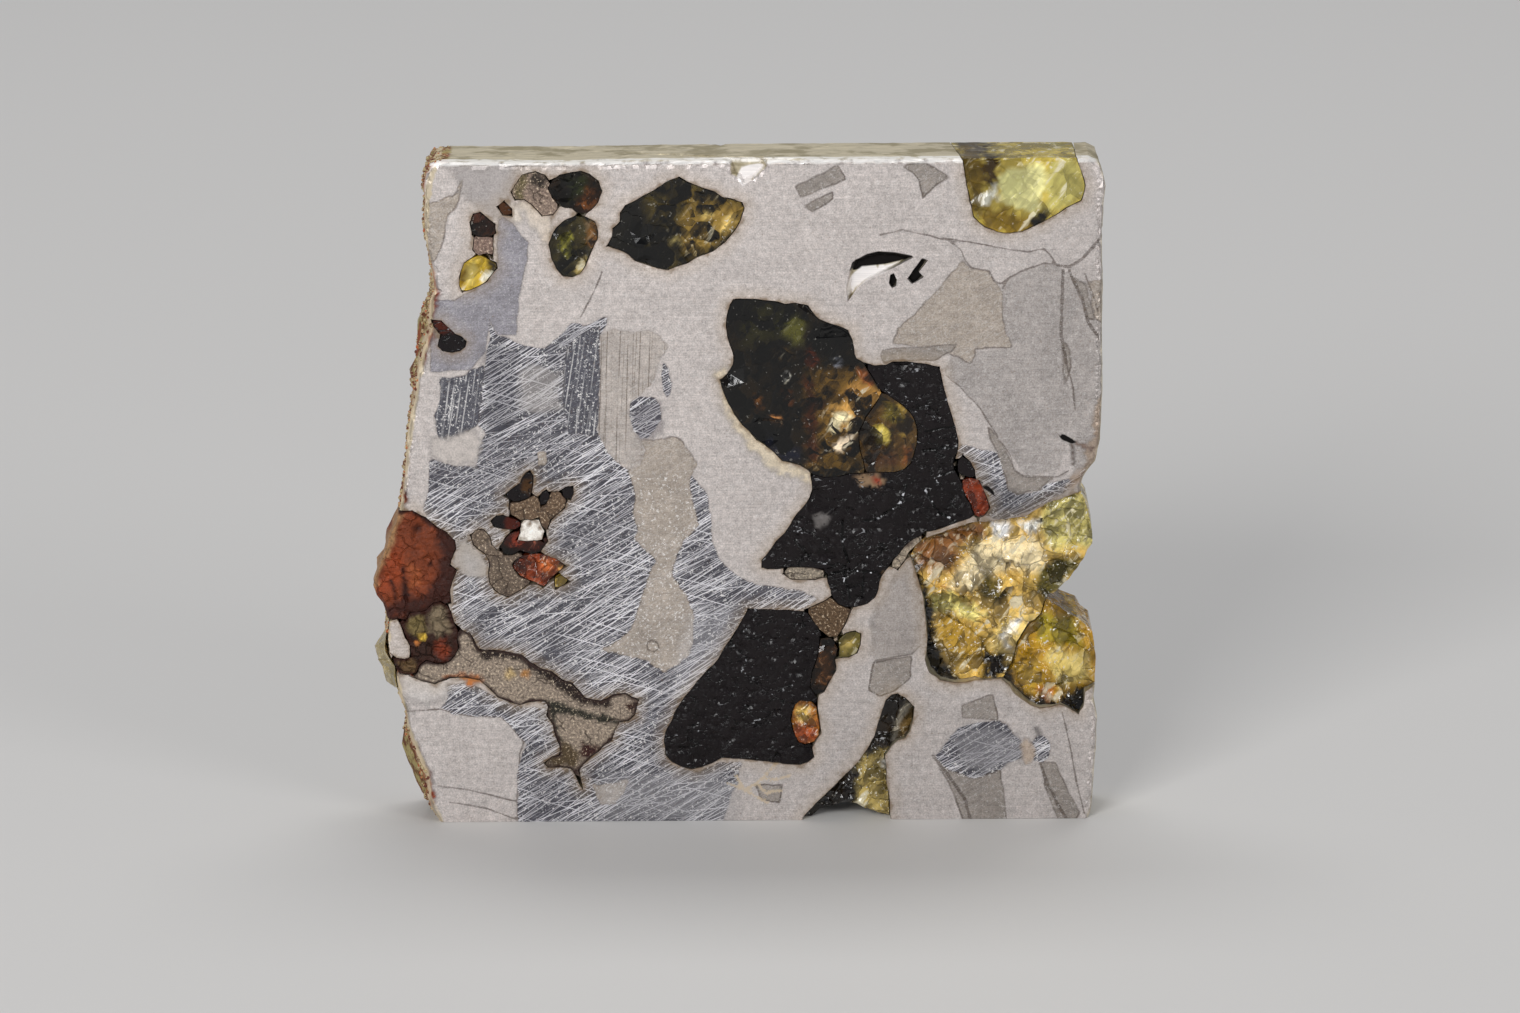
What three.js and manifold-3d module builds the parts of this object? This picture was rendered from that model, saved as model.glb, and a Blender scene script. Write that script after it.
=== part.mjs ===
// A polished slice of a pallasite meteorite: crystals of olivine, dark chromite and brown troilite grains,
// weathered silicate and rust, all held in one piece of iron-nickel metal.
// Millimetres, +Z up. The slice stands on its sawn bottom edge and its polished face looks towards -Y.
import * as THREE from "three";
import { LoftGeometry } from "three/addons/geometries/LoftGeometry.js";
import { mergeVertices } from "three/addons/utils/BufferGeometryUtils.js";
import Module from "manifold-3d";

const wasm = await Module();
wasm.setup();

// Driving dimensions of the slice.
const THICKNESS = 6;
const FRONT = -THICKNESS / 2;
const BACK = THICKNESS / 2;
const EDGE_BEVEL = 0.2;
const SEAM = 0.25;
const BLIND_DEPTH = 2.6;
const BLIND_END_SCALE = 0.8;
const NATURAL_EDGE_LUMPS = 0.16;
const LARGEST_CHIP = 2.6;
const CHIP_FLATNESS = 0.4;

// How the outlines were read. They are points [right, down] in picture units on the polished face, seen
// from the front by a camera that looks down a little, so that the face narrows slightly towards its base.
const UNITS_PER_MM = 15;
const VIEW_CENTRE = [760, 506.5];
const VIEW_CENTRE_HEIGHT = 21.9;
const VIEW_DISTANCE = 390;
const VIEW_TILT = THREE.MathUtils.degToRad(14.5);
const VIEW_ROLL = THREE.MathUtils.degToRad(0.35);
const VIEW_OFFSET = 1.58;

// One point of an outline as its place on the face, x and z in millimetres.
function onFace([right, down]) {
  const point = new THREE.Vector2(right - VIEW_CENTRE[0], down - VIEW_CENTRE[1]);
  point.rotateAround(new THREE.Vector2(), VIEW_ROLL);
  point.divideScalar(UNITS_PER_MM * VIEW_DISTANCE);
  const rise = (-point.y * VIEW_DISTANCE) / (Math.cos(VIEW_TILT) - point.y * Math.sin(VIEW_TILT));
  const distance = VIEW_DISTANCE - rise * Math.sin(VIEW_TILT);
  return new THREE.Vector2(point.x * distance + VIEW_OFFSET, rise + VIEW_CENTRE_HEIGHT);
}

// A small repeatable source of random numbers from 0 to 1.
function randomFrom(seed) {
  let state = seed;
  return () => {
    state = (state * 1664525 + 1013904223) >>> 0;
    return state / 2 ** 32;
  };
}

// A closed geometry as a solid that can be joined and cut.
function solid(geometry) {
  const bare = new THREE.BufferGeometry();
  bare.setAttribute("position", geometry.getAttribute("position"));
  bare.setIndex(geometry.getIndex());
  const merged = mergeVertices(bare, 1e-4);
  return new wasm.Manifold(
    new wasm.Mesh({
      numProp: 3,
      vertProperties: merged.attributes.position.array,
      triVerts: new Uint32Array(merged.index.array),
    }),
  );
}

// The largest of the bodies that a cut leaves, so that no loose sliver stays.
function largestBody(shape) {
  return shape.decompose().reduce((a, b) => (a.volume() > b.volume() ? a : b));
}

// The way in the face's plane in which each point of a clockwise outline moves when the outline grows.
function outwardWays(points) {
  return points.map((point, i) => {
    const into = point.clone().sub(points.at(i - 1)).normalize();
    const out = points[(i + 1) % points.length].clone().sub(point).normalize();
    const way = new THREE.Vector2(-into.y - out.y, into.x + out.x).normalize();
    const alongNormal = way.dot(new THREE.Vector2(-into.y, into.x));
    return way.divideScalar(Math.max(0.6, alongNormal));
  });
}

// An outline moved outwards by a distance, or inwards by a negative one.
function grown(points, distance) {
  const ways = outwardWays(points);
  return points.map((point, i) => point.clone().addScaledVector(ways[i], distance));
}

// An outline scaled about its middle and shifted, as a crystal's section changes on its way to the back.
function tapered(points, scale, [shiftX, shiftZ]) {
  const middle = points.reduce((sum, point) => sum.add(point), new THREE.Vector2());
  middle.divideScalar(points.length);
  const shift = new THREE.Vector2(shiftX, shiftZ);
  return points.map((point) => point.clone().sub(middle).multiplyScalar(scale).add(middle).add(shift));
}

function section(points, y) {
  return points.map((point) => new THREE.Vector3(point.x, y, point.y));
}

function loft(sections) {
  return solid(new LoftGeometry(sections, { capStart: true, capEnd: true }));
}

// Outline of the whole slice, clockwise from the top left corner of the face. Sawn stretches are straight,
// natural and broken ones are rough. On the left, the edge stands out behind the face by the third number.
const SAWN_TOP = [
  [438, 162.5], [560, 163], [640, 161.5], [800, 160], [963, 159], [1040, 158.5], [1090, 158.5],
];
const SAWN_RIGHT = [
  [1099, 163], [1103, 174], [1106, 187], [1104, 203], [1102, 240], [1103, 290], [1102, 350], [1103, 380],
  [1102, 405], [1100, 440], [1098, 450], [1095, 462], [1088, 470], [1083, 478], [1080, 486],
];
const BROKEN_RIGHT = [
  [1083, 498], [1088, 510], [1091, 525], [1093, 535], [1093, 545], [1088, 552], [1084, 562], [1078, 570],
  [1070, 580], [1063, 588], [1056, 594], [1047, 601], [1055, 607], [1065, 613], [1078, 620], [1086, 627],
  [1092, 633], [1094, 642], [1096, 660], [1095, 684],
];
const SAWN_LOWER_RIGHT = [
  [1094, 700], [1097, 715], [1096, 750], [1094, 770], [1092, 800], [1090, 812], [1084, 826],
];
const CHIPPED_FOOT = [
  [894, 826], [890, 818], [878, 816], [866, 812], [857, 806], [845, 804], [835, 807], [820, 813],
  [806, 826],
];
const SAWN_FOOT = [[445, 829]];
const NATURAL_LEFT = [
  [434, 812, 7], [429, 800, 11], [433, 785, 20], [430, 775, 23], [425, 765, 21], [418, 748, 19],
  [412, 735, 9], [408, 725, 3], [406, 712, 2], [402, 700, 4], [397, 688, 13], [395, 678, 15],
  [397, 668, 21], [393, 660, 19], [386, 652, 12], [386, 640, 5], [388, 622, 2], [386, 612, 1],
  [383, 604, 2], [377, 596, 2], [374, 588, 2], [375, 580, 2], [380, 568, 3], [385, 553, 3], [390, 540, 4],
  [396, 525, 3], [400, 510, 2], [402, 495, 1], [405, 475, 2], [406, 460, 1], [407, 440, 2], [411, 415, 3],
  [416, 400, 7], [418, 380, 9], [420, 368, 8], [425, 350, 10], [433, 330, 16], [430, 315, 9],
  [431, 300, 4], [436, 290, 8], [434, 273, 6], [430, 258, 4], [426, 240, 3], [424, 220, 2], [425, 200, 1],
  [423, 187, 1], [426, 174, 2], [430, 166, 1],
];

// How far the natural edge has come out, from the face to the back: [place in the thickness, share].
const FLARE_PROFILE = [[0, 0], [0.04, 0.15], [0.45, 1], [0.96, 0.6], [1, 0.5]];

function wholeSlice() {
  const straight = (points) => points.map((point) => ({ point, rough: 0 }));
  const rough = (points) => points.map((point) => ({ point, rough: NATURAL_EDGE_LUMPS }));
  const rim = [
    ...straight(SAWN_TOP),
    ...straight(SAWN_RIGHT),
    ...rough(BROKEN_RIGHT),
    ...straight(SAWN_LOWER_RIGHT),
    ...rough(CHIPPED_FOOT),
    ...straight(SAWN_FOOT),
    ...rough(NATURAL_LEFT),
  ];
  const points = rim.map(({ point }) => onFace(point));
  const ways = outwardWays(points);
  const random = randomFrom(7);
  const sections = FLARE_PROFILE.map(([place, share], j) => {
    const atFace = j === 0 || j === FLARE_PROFILE.length - 1;
    const moved = points.map((point, i) => {
      const flare = ((rim[i].point[2] ?? 0) / UNITS_PER_MM) * share;
      const lump = j < 2 ? 0 : rim[i].rough * (2 * random() - 1);
      return point.clone().addScaledVector(ways[i], flare + lump - (atFace ? EDGE_BEVEL : 0));
    });
    return section(moved, FRONT + place * THICKNESS);
  });
  const floor = new THREE.BoxGeometry(100, 20, 20).translate(0, 0, -10);
  return loft(sections).subtract(solid(floor));
}

// Minerals, as the colour of each one's polished surface.
const METAL = { color: 0xaea8a3, roughness: 0.35, metalness: 1 };
const DARK_OLIVINE = { color: 0x4a3d16, roughness: 0.15, metalness: 0 };
const CLEAR_OLIVINE = { color: 0x8f8f4c, roughness: 0.1, metalness: 0 };
const HONEY_OLIVINE = { color: 0xb08a48, roughness: 0.25, metalness: 0 };
const AMBER_OLIVINE = { color: 0xa65a24, roughness: 0.3, metalness: 0 };
const BROWN_OLIVINE = { color: 0x3d2318, roughness: 0.2, metalness: 0 };
const CHROMITE = { color: 0x232024, roughness: 0.2, metalness: 0.2 };
const TROILITE = { color: 0x7d6c5a, roughness: 0.5, metalness: 0.6 };
const WEATHERED_SILICATE = { color: 0x5c4a2a, roughness: 0.6, metalness: 0 };
const RUST = { color: 0x8c3f22, roughness: 0.7, metalness: 0 };

// Grains along the top of the slice.
const OLIVINE_TOP_RIGHT = {
  name: "olivine_top_right", mineral: CLEAR_OLIVINE, chips: 4, chipDepth: 0.35, backScale: 1.08,
  backShift: [-0.4, 0.3],
  outline: [
    [938, 110], [950, 140], [963, 160], [966, 180], [970, 200], [974, 218], [985, 227], [997, 232],
    [1010, 233], [1022, 231], [1035, 226], [1047, 220], [1058, 213], [1070, 206], [1082, 200],
    [1085, 185], [1082, 173], [1078, 163], [1074, 150], [1078, 110],
  ],
};
const OLIVINE_TOP_MIDDLE = {
  name: "olivine_top_middle", mineral: DARK_OLIVINE, chips: 4, chipDepth: 0.3, backScale: 0.85,
  backShift: [0.5, -0.3],
  outline: [
    [607, 246], [612, 236], [613, 228], [620, 222], [620, 213], [625, 206], [640, 198], [655, 190],
    [668, 181], [679, 177], [687, 182], [700, 187], [715, 192], [722, 197], [742, 202], [744, 208],
    [740, 222], [733, 233], [725, 242], [713, 251], [698, 257], [685, 264], [676, 267], [668, 270],
    [658, 268], [645, 264], [635, 261], [628, 254], [618, 249],
  ],
};
const OLIVINE_TOP_LEFT_UPPER = {
  name: "olivine_top_left_upper", mineral: BROWN_OLIVINE, chips: 2, chipDepth: 0.2, backScale: 0.8,
  backShift: [0.2, 0],
  outline: [
    [548, 188], [552, 180], [560, 175], [570, 173], [580, 171], [590, 174], [598, 181], [602, 191],
    [598, 202], [592, 209], [587, 213], [578, 214], [572, 208], [565, 208], [558, 205], [552, 198],
  ],
};
const TROILITE_TOP_LEFT = {
  name: "troilite_top_left", mineral: TROILITE, depth: BLIND_DEPTH, after: [OLIVINE_TOP_LEFT_UPPER],
  outline: [
    [511, 192], [515, 185], [522, 175], [535, 172], [545, 175], [555, 190], [558, 208], [553, 215],
    [542, 216], [532, 205], [525, 200], [515, 200],
  ],
};
const OLIVINE_TOP_LEFT_LOWER = {
  name: "olivine_top_left_lower", mineral: DARK_OLIVINE, chips: 3, chipDepth: 0.2, backScale: 0.8,
  backShift: [-0.2, 0.2],
  outline: [
    [549, 245], [552, 236], [556, 228], [564, 221], [575, 216], [586, 217], [595, 222], [598, 232],
    [597, 240], [591, 252], [586, 265], [580, 274], [573, 277], [563, 276], [556, 268], [552, 258],
  ],
};
const OLIVINE_HEART = {
  name: "olivine_heart", mineral: BROWN_OLIVINE, depth: BLIND_DEPTH,
  outline: [
    [470, 222], [473, 214], [480, 212], [487, 218], [495, 224], [496, 233], [492, 236], [480, 237],
    [472, 235],
  ],
};
const TROILITE_LINK = {
  name: "troilite_link", mineral: TROILITE, depth: BLIND_DEPTH, after: [OLIVINE_HEART],
  outline: [[474, 236], [493, 235], [493, 257], [487, 254], [478, 256], [473, 250]],
};
const OLIVINE_YELLOW = {
  name: "olivine_yellow", mineral: CLEAR_OLIVINE, depth: BLIND_DEPTH, chips: 2, chipDepth: 0.15,
  after: [TROILITE_LINK],
  outline: [
    [459, 285], [460, 275], [464, 263], [472, 258], [480, 255], [487, 258], [496, 263], [497, 268],
    [492, 274], [487, 281], [480, 285], [470, 290], [462, 292],
  ],
};
const CHROMITE_BAR = {
  name: "chromite_bar", mineral: CHROMITE, depth: BLIND_DEPTH,
  outline: [[497, 207], [504, 201], [512, 209], [512, 216], [503, 215]],
};
const CHROMITE_SPOT = {
  name: "chromite_spot", mineral: CHROMITE, depth: BLIND_DEPTH,
  outline: [
    [431, 320], [441, 321], [449, 328], [455, 334], [462, 337], [466, 342], [465, 347], [460, 351],
    [452, 352.5], [443, 351], [438, 346], [439, 340], [441, 335], [436, 330], [432, 326],
  ],
};

// Grains in the middle: the large olivine and the dark plates that run from it.
const OLIVINE_CENTRE = {
  name: "olivine_centre", mineral: DARK_OLIVINE, chips: 6, chipDepth: 0.3, backScale: 0.92,
  backShift: [-0.4, 0.4],
  outline: [
    [733, 300], [740, 299], [755, 299], [770, 301], [785, 304], [795, 303], [808, 306], [812, 312],
    [820, 320], [828, 323], [838, 326], [848, 330], [852, 340], [854, 350], [856, 358], [864, 363],
    [868, 370], [876, 383], [882, 392], [876, 403], [866, 417], [859, 432], [860, 450], [866, 473],
    [850, 474], [838, 477], [825, 477], [813, 475], [808, 470], [800, 465], [790, 462], [782, 461],
    [775, 453], [765, 445], [757, 440], [750, 432], [742, 425], [735, 415], [731, 407], [727, 400],
    [722, 388], [720, 380], [728, 374], [733, 365], [734, 355], [730, 345], [727, 335], [726, 325],
    [727, 315], [730, 305],
  ],
};
const OLIVINE_CENTRE_RIGHT = {
  name: "olivine_centre_right", mineral: HONEY_OLIVINE, chips: 4, chipDepth: 0.3, backScale: 0.9,
  backShift: [0.2, 0.1], after: [OLIVINE_CENTRE],
  outline: [
    [878, 388], [895, 400], [903, 405], [910, 412], [915, 420], [917, 430], [917, 445], [914, 455],
    [911, 463], [905, 469], [895, 472], [880, 472], [862, 473], [855, 450], [854, 430], [862, 412],
  ],
};
// This plate runs on behind the two crystals, which narrow towards the back.
const CHROMITE_UPPER = {
  name: "chromite_upper", mineral: CHROMITE, chips: 6, chipDepth: 0.2, backScale: 0.95,
  backShift: [0.3, -0.3],
  after: [OLIVINE_CENTRE, OLIVINE_CENTRE_RIGHT],
  outline: [
    [850, 368], [865, 363], [875, 366], [886, 365], [893, 362], [910, 362], [925, 364], [939, 367],
    [942, 380], [947, 400], [953, 420], [958, 440], [957, 452], [953, 465], [958, 476], [962, 483],
    [963, 490], [966, 497], [971, 505], [974, 515], [970, 518], [955, 523], [945, 527], [935, 530],
    [925, 532], [922, 535], [912, 540], [905, 546], [900, 552], [893, 560], [890, 565], [884, 572],
    [880, 580], [878, 590], [875, 597], [868, 603], [855, 607], [845, 607], [838, 604], [832, 597],
    [831, 590], [828, 583], [827, 575], [823, 570], [815, 568], [805, 567], [790, 567], [778, 569],
    [768, 569], [762, 567], [762, 560], [770, 550], [778, 540], [787, 530], [793, 520], [802, 508],
    [810, 498], [813, 490], [811, 476], [816, 464], [822, 450],
    [830, 430], [832, 400], [838, 380],
  ],
};
const TROILITE_SPECK = {
  name: "troilite_speck", mineral: TROILITE, depth: BLIND_DEPTH, after: [CHROMITE_UPPER],
  outline: [[783, 574], [790, 562], [805, 562], [826, 570], [824, 577], [815, 580], [800, 580], [790, 579]],
};
const OLIVINE_AMBER = {
  name: "olivine_amber", mineral: AMBER_OLIVINE, chips: 2, chipDepth: 0.2, depth: 4,
  outline: [
    [795, 705], [800, 701], [812, 702], [817, 708], [818, 718], [820, 728], [819, 736], [814, 742],
    [805, 745], [798, 742], [793, 732], [791, 720], [792, 712],
  ],
};
const TROILITE_MIDDLE = {
  name: "troilite_middle", mineral: TROILITE, depth: BLIND_DEPTH, after: [CHROMITE_UPPER],
  outline: [
    [806, 609], [820, 603], [832, 596], [848, 603], [852, 607], [848, 618], [843, 628], [838, 637],
    [828, 637], [820, 630], [812, 620],
  ],
};
const OLIVINE_GREEN = {
  name: "olivine_green", mineral: CLEAR_OLIVINE, depth: BLIND_DEPTH, after: [TROILITE_MIDDLE],
  outline: [
    [838, 640], [845, 633], [855, 631], [861, 634], [860, 645], [857, 653], [848, 657], [837, 658],
    [839, 650],
  ],
};
const OLIVINE_BROWN = {
  name: "olivine_brown", mineral: BROWN_OLIVINE, depth: BLIND_DEPTH, chips: 2, chipDepth: 0.15,
  after: [TROILITE_MIDDLE, OLIVINE_GREEN, OLIVINE_AMBER],
  outline: [
    [820, 637], [832, 637], [838, 648], [835, 660], [836, 670], [830, 681], [824, 692], [816, 696],
    [810, 688], [812, 672], [818, 656],
  ],
};
const CHROMITE_LOWER = {
  name: "chromite_lower", mineral: CHROMITE, chips: 5, chipDepth: 0.2, backScale: 0.9, backShift: [0, 0.4],
  after: [OLIVINE_AMBER, TROILITE_MIDDLE, OLIVINE_GREEN, OLIVINE_BROWN],
  outline: [
    [748, 609], [770, 610], [790, 610], [808, 612], [813, 617], [817, 626], [822, 634], [830, 645],
    [833, 658], [828, 672], [822, 685], [818, 695], [817, 703], [819, 718], [821, 733], [815, 742],
    [812, 748], [814, 757], [808, 762], [800, 765], [785, 764], [765, 761], [745, 759], [722, 758],
    [712, 763], [702, 767], [692, 769], [682, 767], [672, 762], [666, 755], [664, 742], [665, 733],
    [672, 720], [676, 710], [685, 697], [697, 682], [708, 670], [718, 660], [722, 652], [730, 640],
    [738, 628], [745, 615],
  ],
};

// The broken olivine at the right edge, the red grain beside it and the chipped olivine in the bottom edge.
const OLIVINE_RIGHT_UPPER = {
  name: "olivine_right_upper", mineral: HONEY_OLIVINE, chips: 6, chipDepth: 0.7, backScale: 0.95,
  backShift: [0.4, 0], after: [CHROMITE_UPPER],
  chipsAt: [
    [1000, 592, 1.5, 1.2], [948, 563, 2.4, 0.7], [985, 566, 1.7, 0.5], [962, 635, 2.6, 0.6],
    [1003, 655, 1.7, 0.9], [948, 605, 1.3, 0.8], [1062, 530, 1.8, 0.4], [1032, 560, 2.5, 0.8],
    [1010, 528, 1.2, 0.4], [922, 600, 1.2, 1], [930, 665, 1.3, 0.8], [1020, 612, 2.2, 0.7],
  ],
  outline: [
    [1130, 480], [1078, 493], [1058, 500], [1048, 503], [1040, 508], [1025, 517], [1010, 520], [985, 522],
    [970, 523], [955, 528], [940, 533], [925, 538], [915, 548], [910, 556], [915, 570], [920, 585],
    [924, 600], [926, 620], [927, 640], [926, 660], [930, 672], [940, 680], [955, 683], [965, 682],
    [975, 680], [990, 679], [1003, 679], [1012, 668], [1018, 645], [1029, 628], [1041, 616], [1045, 603],
    [1050, 597], [1130, 590],
  ],
};
const OLIVINE_RIGHT_LOWER = {
  name: "olivine_right_lower", mineral: AMBER_OLIVINE, chips: 3, chipDepth: 0.5, backScale: 0.95,
  backShift: [0.3, 0.2], after: [OLIVINE_RIGHT_UPPER],
  chipsAt: [[1058, 655, 3, 0.5], [1030, 688, 1.6, 0.7], [1080, 692, 1.4, 0.5], [1032, 640, 1.4, 0.6]],
  outline: [
    [1130, 605], [1047, 601], [1038, 614], [1026, 628], [1015, 645], [1009, 668], [1002, 679],
    [1010, 685], [1015, 692], [1022, 698], [1030, 704], [1040, 708], [1050, 707], [1060, 704],
    [1070, 708], [1078, 713], [1083, 706], [1084, 692], [1094, 685], [1130, 684],
  ],
};
const TROILITE_SLIVER = {
  name: "troilite_sliver", mineral: TROILITE, depth: BLIND_DEPTH,
  after: [CHROMITE_UPPER, OLIVINE_RIGHT_UPPER],
  outline: [[890, 566], [897, 553], [910, 540], [928, 530], [922, 540], [910, 552], [905, 560], [898, 570]],
};
const OLIVINE_RED = {
  name: "olivine_red", mineral: AMBER_OLIVINE, depth: 4, chips: 1, chipDepth: 0.15, after: [CHROMITE_UPPER],
  outline: [
    [959, 481], [970, 478], [979, 480], [983, 488], [987, 498], [990, 508], [985, 515], [978, 519],
    [973, 515], [968, 505], [964, 494],
  ],
};
const CHROMITE_GRAIN = {
  name: "chromite_grain", mineral: CHROMITE, depth: BLIND_DEPTH, after: [CHROMITE_UPPER, OLIVINE_RED],
  outline: [[957, 462], [963, 455], [970, 462], [975, 470], [975, 479], [966, 477], [958, 474]],
};
const OLIVINE_FOOT = {
  name: "olivine_foot", mineral: HONEY_OLIVINE, chips: 3, chipDepth: 0.4, backScale: 0.95,
  backShift: [0.2, 0],
  outline: [
    [886, 700], [882, 712], [879, 722], [875, 735], [870, 745], [865, 752], [858, 762], [850, 770],
    [840, 780], [830, 790], [820, 800], [812, 808], [803, 818], [800, 850], [893, 850], [890, 816],
    [889, 795], [886, 780], [886, 765], [884, 757], [888, 751], [892, 745], [898, 740], [905, 738],
    [910, 730], [913, 720], [914, 707], [905, 698], [898, 694], [892, 695],
  ],
};

// The weathered left edge: rust, silicate, a crust of olivine behind the face, and a bit of metal caught
// between them.
const RUST_INCLUSION = {
  name: "rust_inclusion", mineral: RUST, chips: 4, chipDepth: 0.25, backScale: 0.9, backShift: [-0.4, 0],
  outline: [
    [345, 508], [400, 511], [412, 511], [425, 518], [437, 527], [446, 532], [455, 541], [456, 549],
    [451, 560], [450, 566], [457, 570], [453, 580], [450, 590], [451, 603], [446, 605], [440, 602],
    [433, 604], [425, 611], [410, 613], [405, 621], [398, 619], [389, 620], [345, 617],
  ],
};
const METAL_ISLAND = {
  name: "metal_island", mineral: METAL, depth: BLIND_DEPTH, after: [RUST_INCLUSION],
  outline: [
    [388, 621], [398, 619], [402, 629], [405, 638], [410, 645], [411, 657], [404, 659], [396, 658],
    [388, 652], [387, 640],
  ],
};
const OLIVINE_CRUST = {
  name: "olivine_crust", mineral: CLEAR_OLIVINE, chips: 3, chipDepth: 0.3, after: [METAL_ISLAND],
  outline: [
    [345, 630], [380, 631], [386, 640], [385, 648], [388, 658], [395, 668], [396, 680], [398, 694],
    [345, 705],
  ],
};
const WEATHERED_CORE = {
  name: "weathered_silicate", mineral: WEATHERED_SILICATE, chips: 3, chipDepth: 0.25, depth: 4,
  after: [RUST_INCLUSION, METAL_ISLAND, OLIVINE_CRUST],
  outline: [
    [399, 622], [408, 612], [415, 610], [425, 608], [433, 602], [440, 600], [446, 603], [451, 612],
    [455, 625], [458, 630], [457, 640], [459, 647], [455, 655], [450, 661], [443, 664], [435, 663],
    [426, 660], [420, 665], [417, 673], [410, 675], [400, 674], [393, 668], [392, 659], [405, 657],
    [410, 650], [405, 635],
  ],
};
const TROILITE_VEIN = {
  name: "troilite_vein", mineral: TROILITE, chips: 4, chipDepth: 0.15, depth: 4, after: [WEATHERED_CORE],
  outline: [
    [453, 622], [462, 630], [470, 634], [475, 643], [480, 650], [495, 650], [510, 652], [522, 655],
    [530, 662], [540, 668], [552, 672], [562, 680], [572, 683], [578, 690], [585, 698], [600, 701],
    [607, 699], [613, 695], [625, 693], [632, 697], [639, 699], [637, 705], [635, 715], [628, 721],
    [620, 722], [615, 730], [612, 740], [605, 745], [598, 752], [590, 758], [583, 765], [579, 770],
    [583, 790], [578, 780], [572, 769], [560, 767], [548, 768], [544, 763], [552, 757], [560, 755],
    [560, 745], [555, 735], [553, 725], [547, 715], [548, 707], [545, 701], [530, 702], [520, 705],
    [510, 702], [497, 697], [488, 687], [480, 680], [465, 677], [450, 678], [435, 684], [420, 680],
    [410, 676], [405, 668], [430, 650], [448, 640],
  ],
};

// The knot of small grains left of the middle.
const CHROMITE_LEFT_A = {
  name: "chromite_left_a", mineral: CHROMITE, depth: BLIND_DEPTH, chips: 1, chipDepth: 0.1,
  outline: [
    [504, 496], [509, 491], [513, 488], [520, 483], [522, 478], [526, 473], [530, 471], [533, 476],
    [533, 484], [532, 490], [531, 496], [526, 499], [519, 502], [513, 502],
  ],
};
const CHROMITE_LEFT_B = {
  name: "chromite_left_b", mineral: CHROMITE, depth: BLIND_DEPTH,
  outline: [[561, 490], [566, 487], [573, 486], [574, 493], [571, 500], [566, 499], [562, 495]],
};
const CHROMITE_LEFT_C = {
  name: "chromite_left_c", mineral: CHROMITE, depth: BLIND_DEPTH,
  outline: [[539, 498], [542, 492], [546, 490], [550, 493], [549, 499], [546, 504], [541, 507]],
};
const CHROMITE_LEFT_D = {
  name: "chromite_left_d", mineral: CHROMITE, depth: BLIND_DEPTH,
  outline: [
    [491, 521], [496, 516], [503, 515], [512, 518], [521, 521], [521, 527], [515, 530], [503, 529],
    [494, 527],
  ],
};
const METAL_BEAD = {
  name: "metal_bead", mineral: METAL, depth: BLIND_DEPTH, after: [CHROMITE_LEFT_D],
  outline: [
    [519, 525], [525, 519], [531, 520], [539, 518], [541, 524], [545, 531], [542, 541], [530, 541],
    [516, 540], [520, 533],
  ],
};
const OLIVINE_DARK_RED = {
  name: "olivine_dark_red", mineral: BROWN_OLIVINE, depth: BLIND_DEPTH,
  after: [METAL_BEAD, CHROMITE_LEFT_D],
  outline: [
    [500, 546], [505, 538], [510, 533], [519, 529], [530, 532], [545, 531], [548, 541], [543, 548],
    [540, 553], [530, 554], [520, 551], [512, 555], [504, 555],
  ],
};
const OLIVINE_ORANGE = {
  name: "olivine_orange", mineral: AMBER_OLIVINE, depth: 4, chips: 3, chipDepth: 0.2,
  after: [OLIVINE_DARK_RED],
  outline: [
    [512, 565], [516, 560], [522, 556], [533, 554], [541, 554], [548, 556], [556, 559], [566, 566],
    [560, 571], [552, 579], [543, 588], [538, 585], [531, 581], [520, 577], [515, 571],
  ],
};
const OLIVINE_TINY = {
  name: "olivine_tiny", mineral: HONEY_OLIVINE, depth: BLIND_DEPTH, after: [OLIVINE_ORANGE],
  outline: [[554, 577], [561, 575], [570, 581], [562, 586], [555, 589]],
};
const TROILITE_LEFT_UPPER = {
  name: "troilite_left_upper", mineral: TROILITE, depth: BLIND_DEPTH,
  after: [CHROMITE_LEFT_A, CHROMITE_LEFT_B, CHROMITE_LEFT_C, CHROMITE_LEFT_D, METAL_BEAD, OLIVINE_DARK_RED],
  outline: [
    [510, 500], [531, 494], [540, 498], [550, 492], [560, 491], [567, 500], [565, 508], [558, 514],
    [551, 520], [548, 529], [540, 532], [530, 525], [520, 520], [511, 515], [509, 508],
  ],
};
const TROILITE_LEFT_LOWER = {
  name: "troilite_left_lower", mineral: TROILITE, depth: BLIND_DEPTH, chips: 2, chipDepth: 0.1,
  after: [OLIVINE_DARK_RED, OLIVINE_ORANGE],
  outline: [
    [470, 535], [478, 529], [484, 530], [490, 537], [492, 545], [497, 550], [506, 553], [522, 552],
    [530, 560], [534, 584], [529, 584], [521, 590], [515, 593], [509, 597], [500, 594], [494, 590],
    [490, 583], [488, 573], [490, 565], [489, 560], [485, 554], [479, 550], [474, 545],
  ],
};

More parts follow.
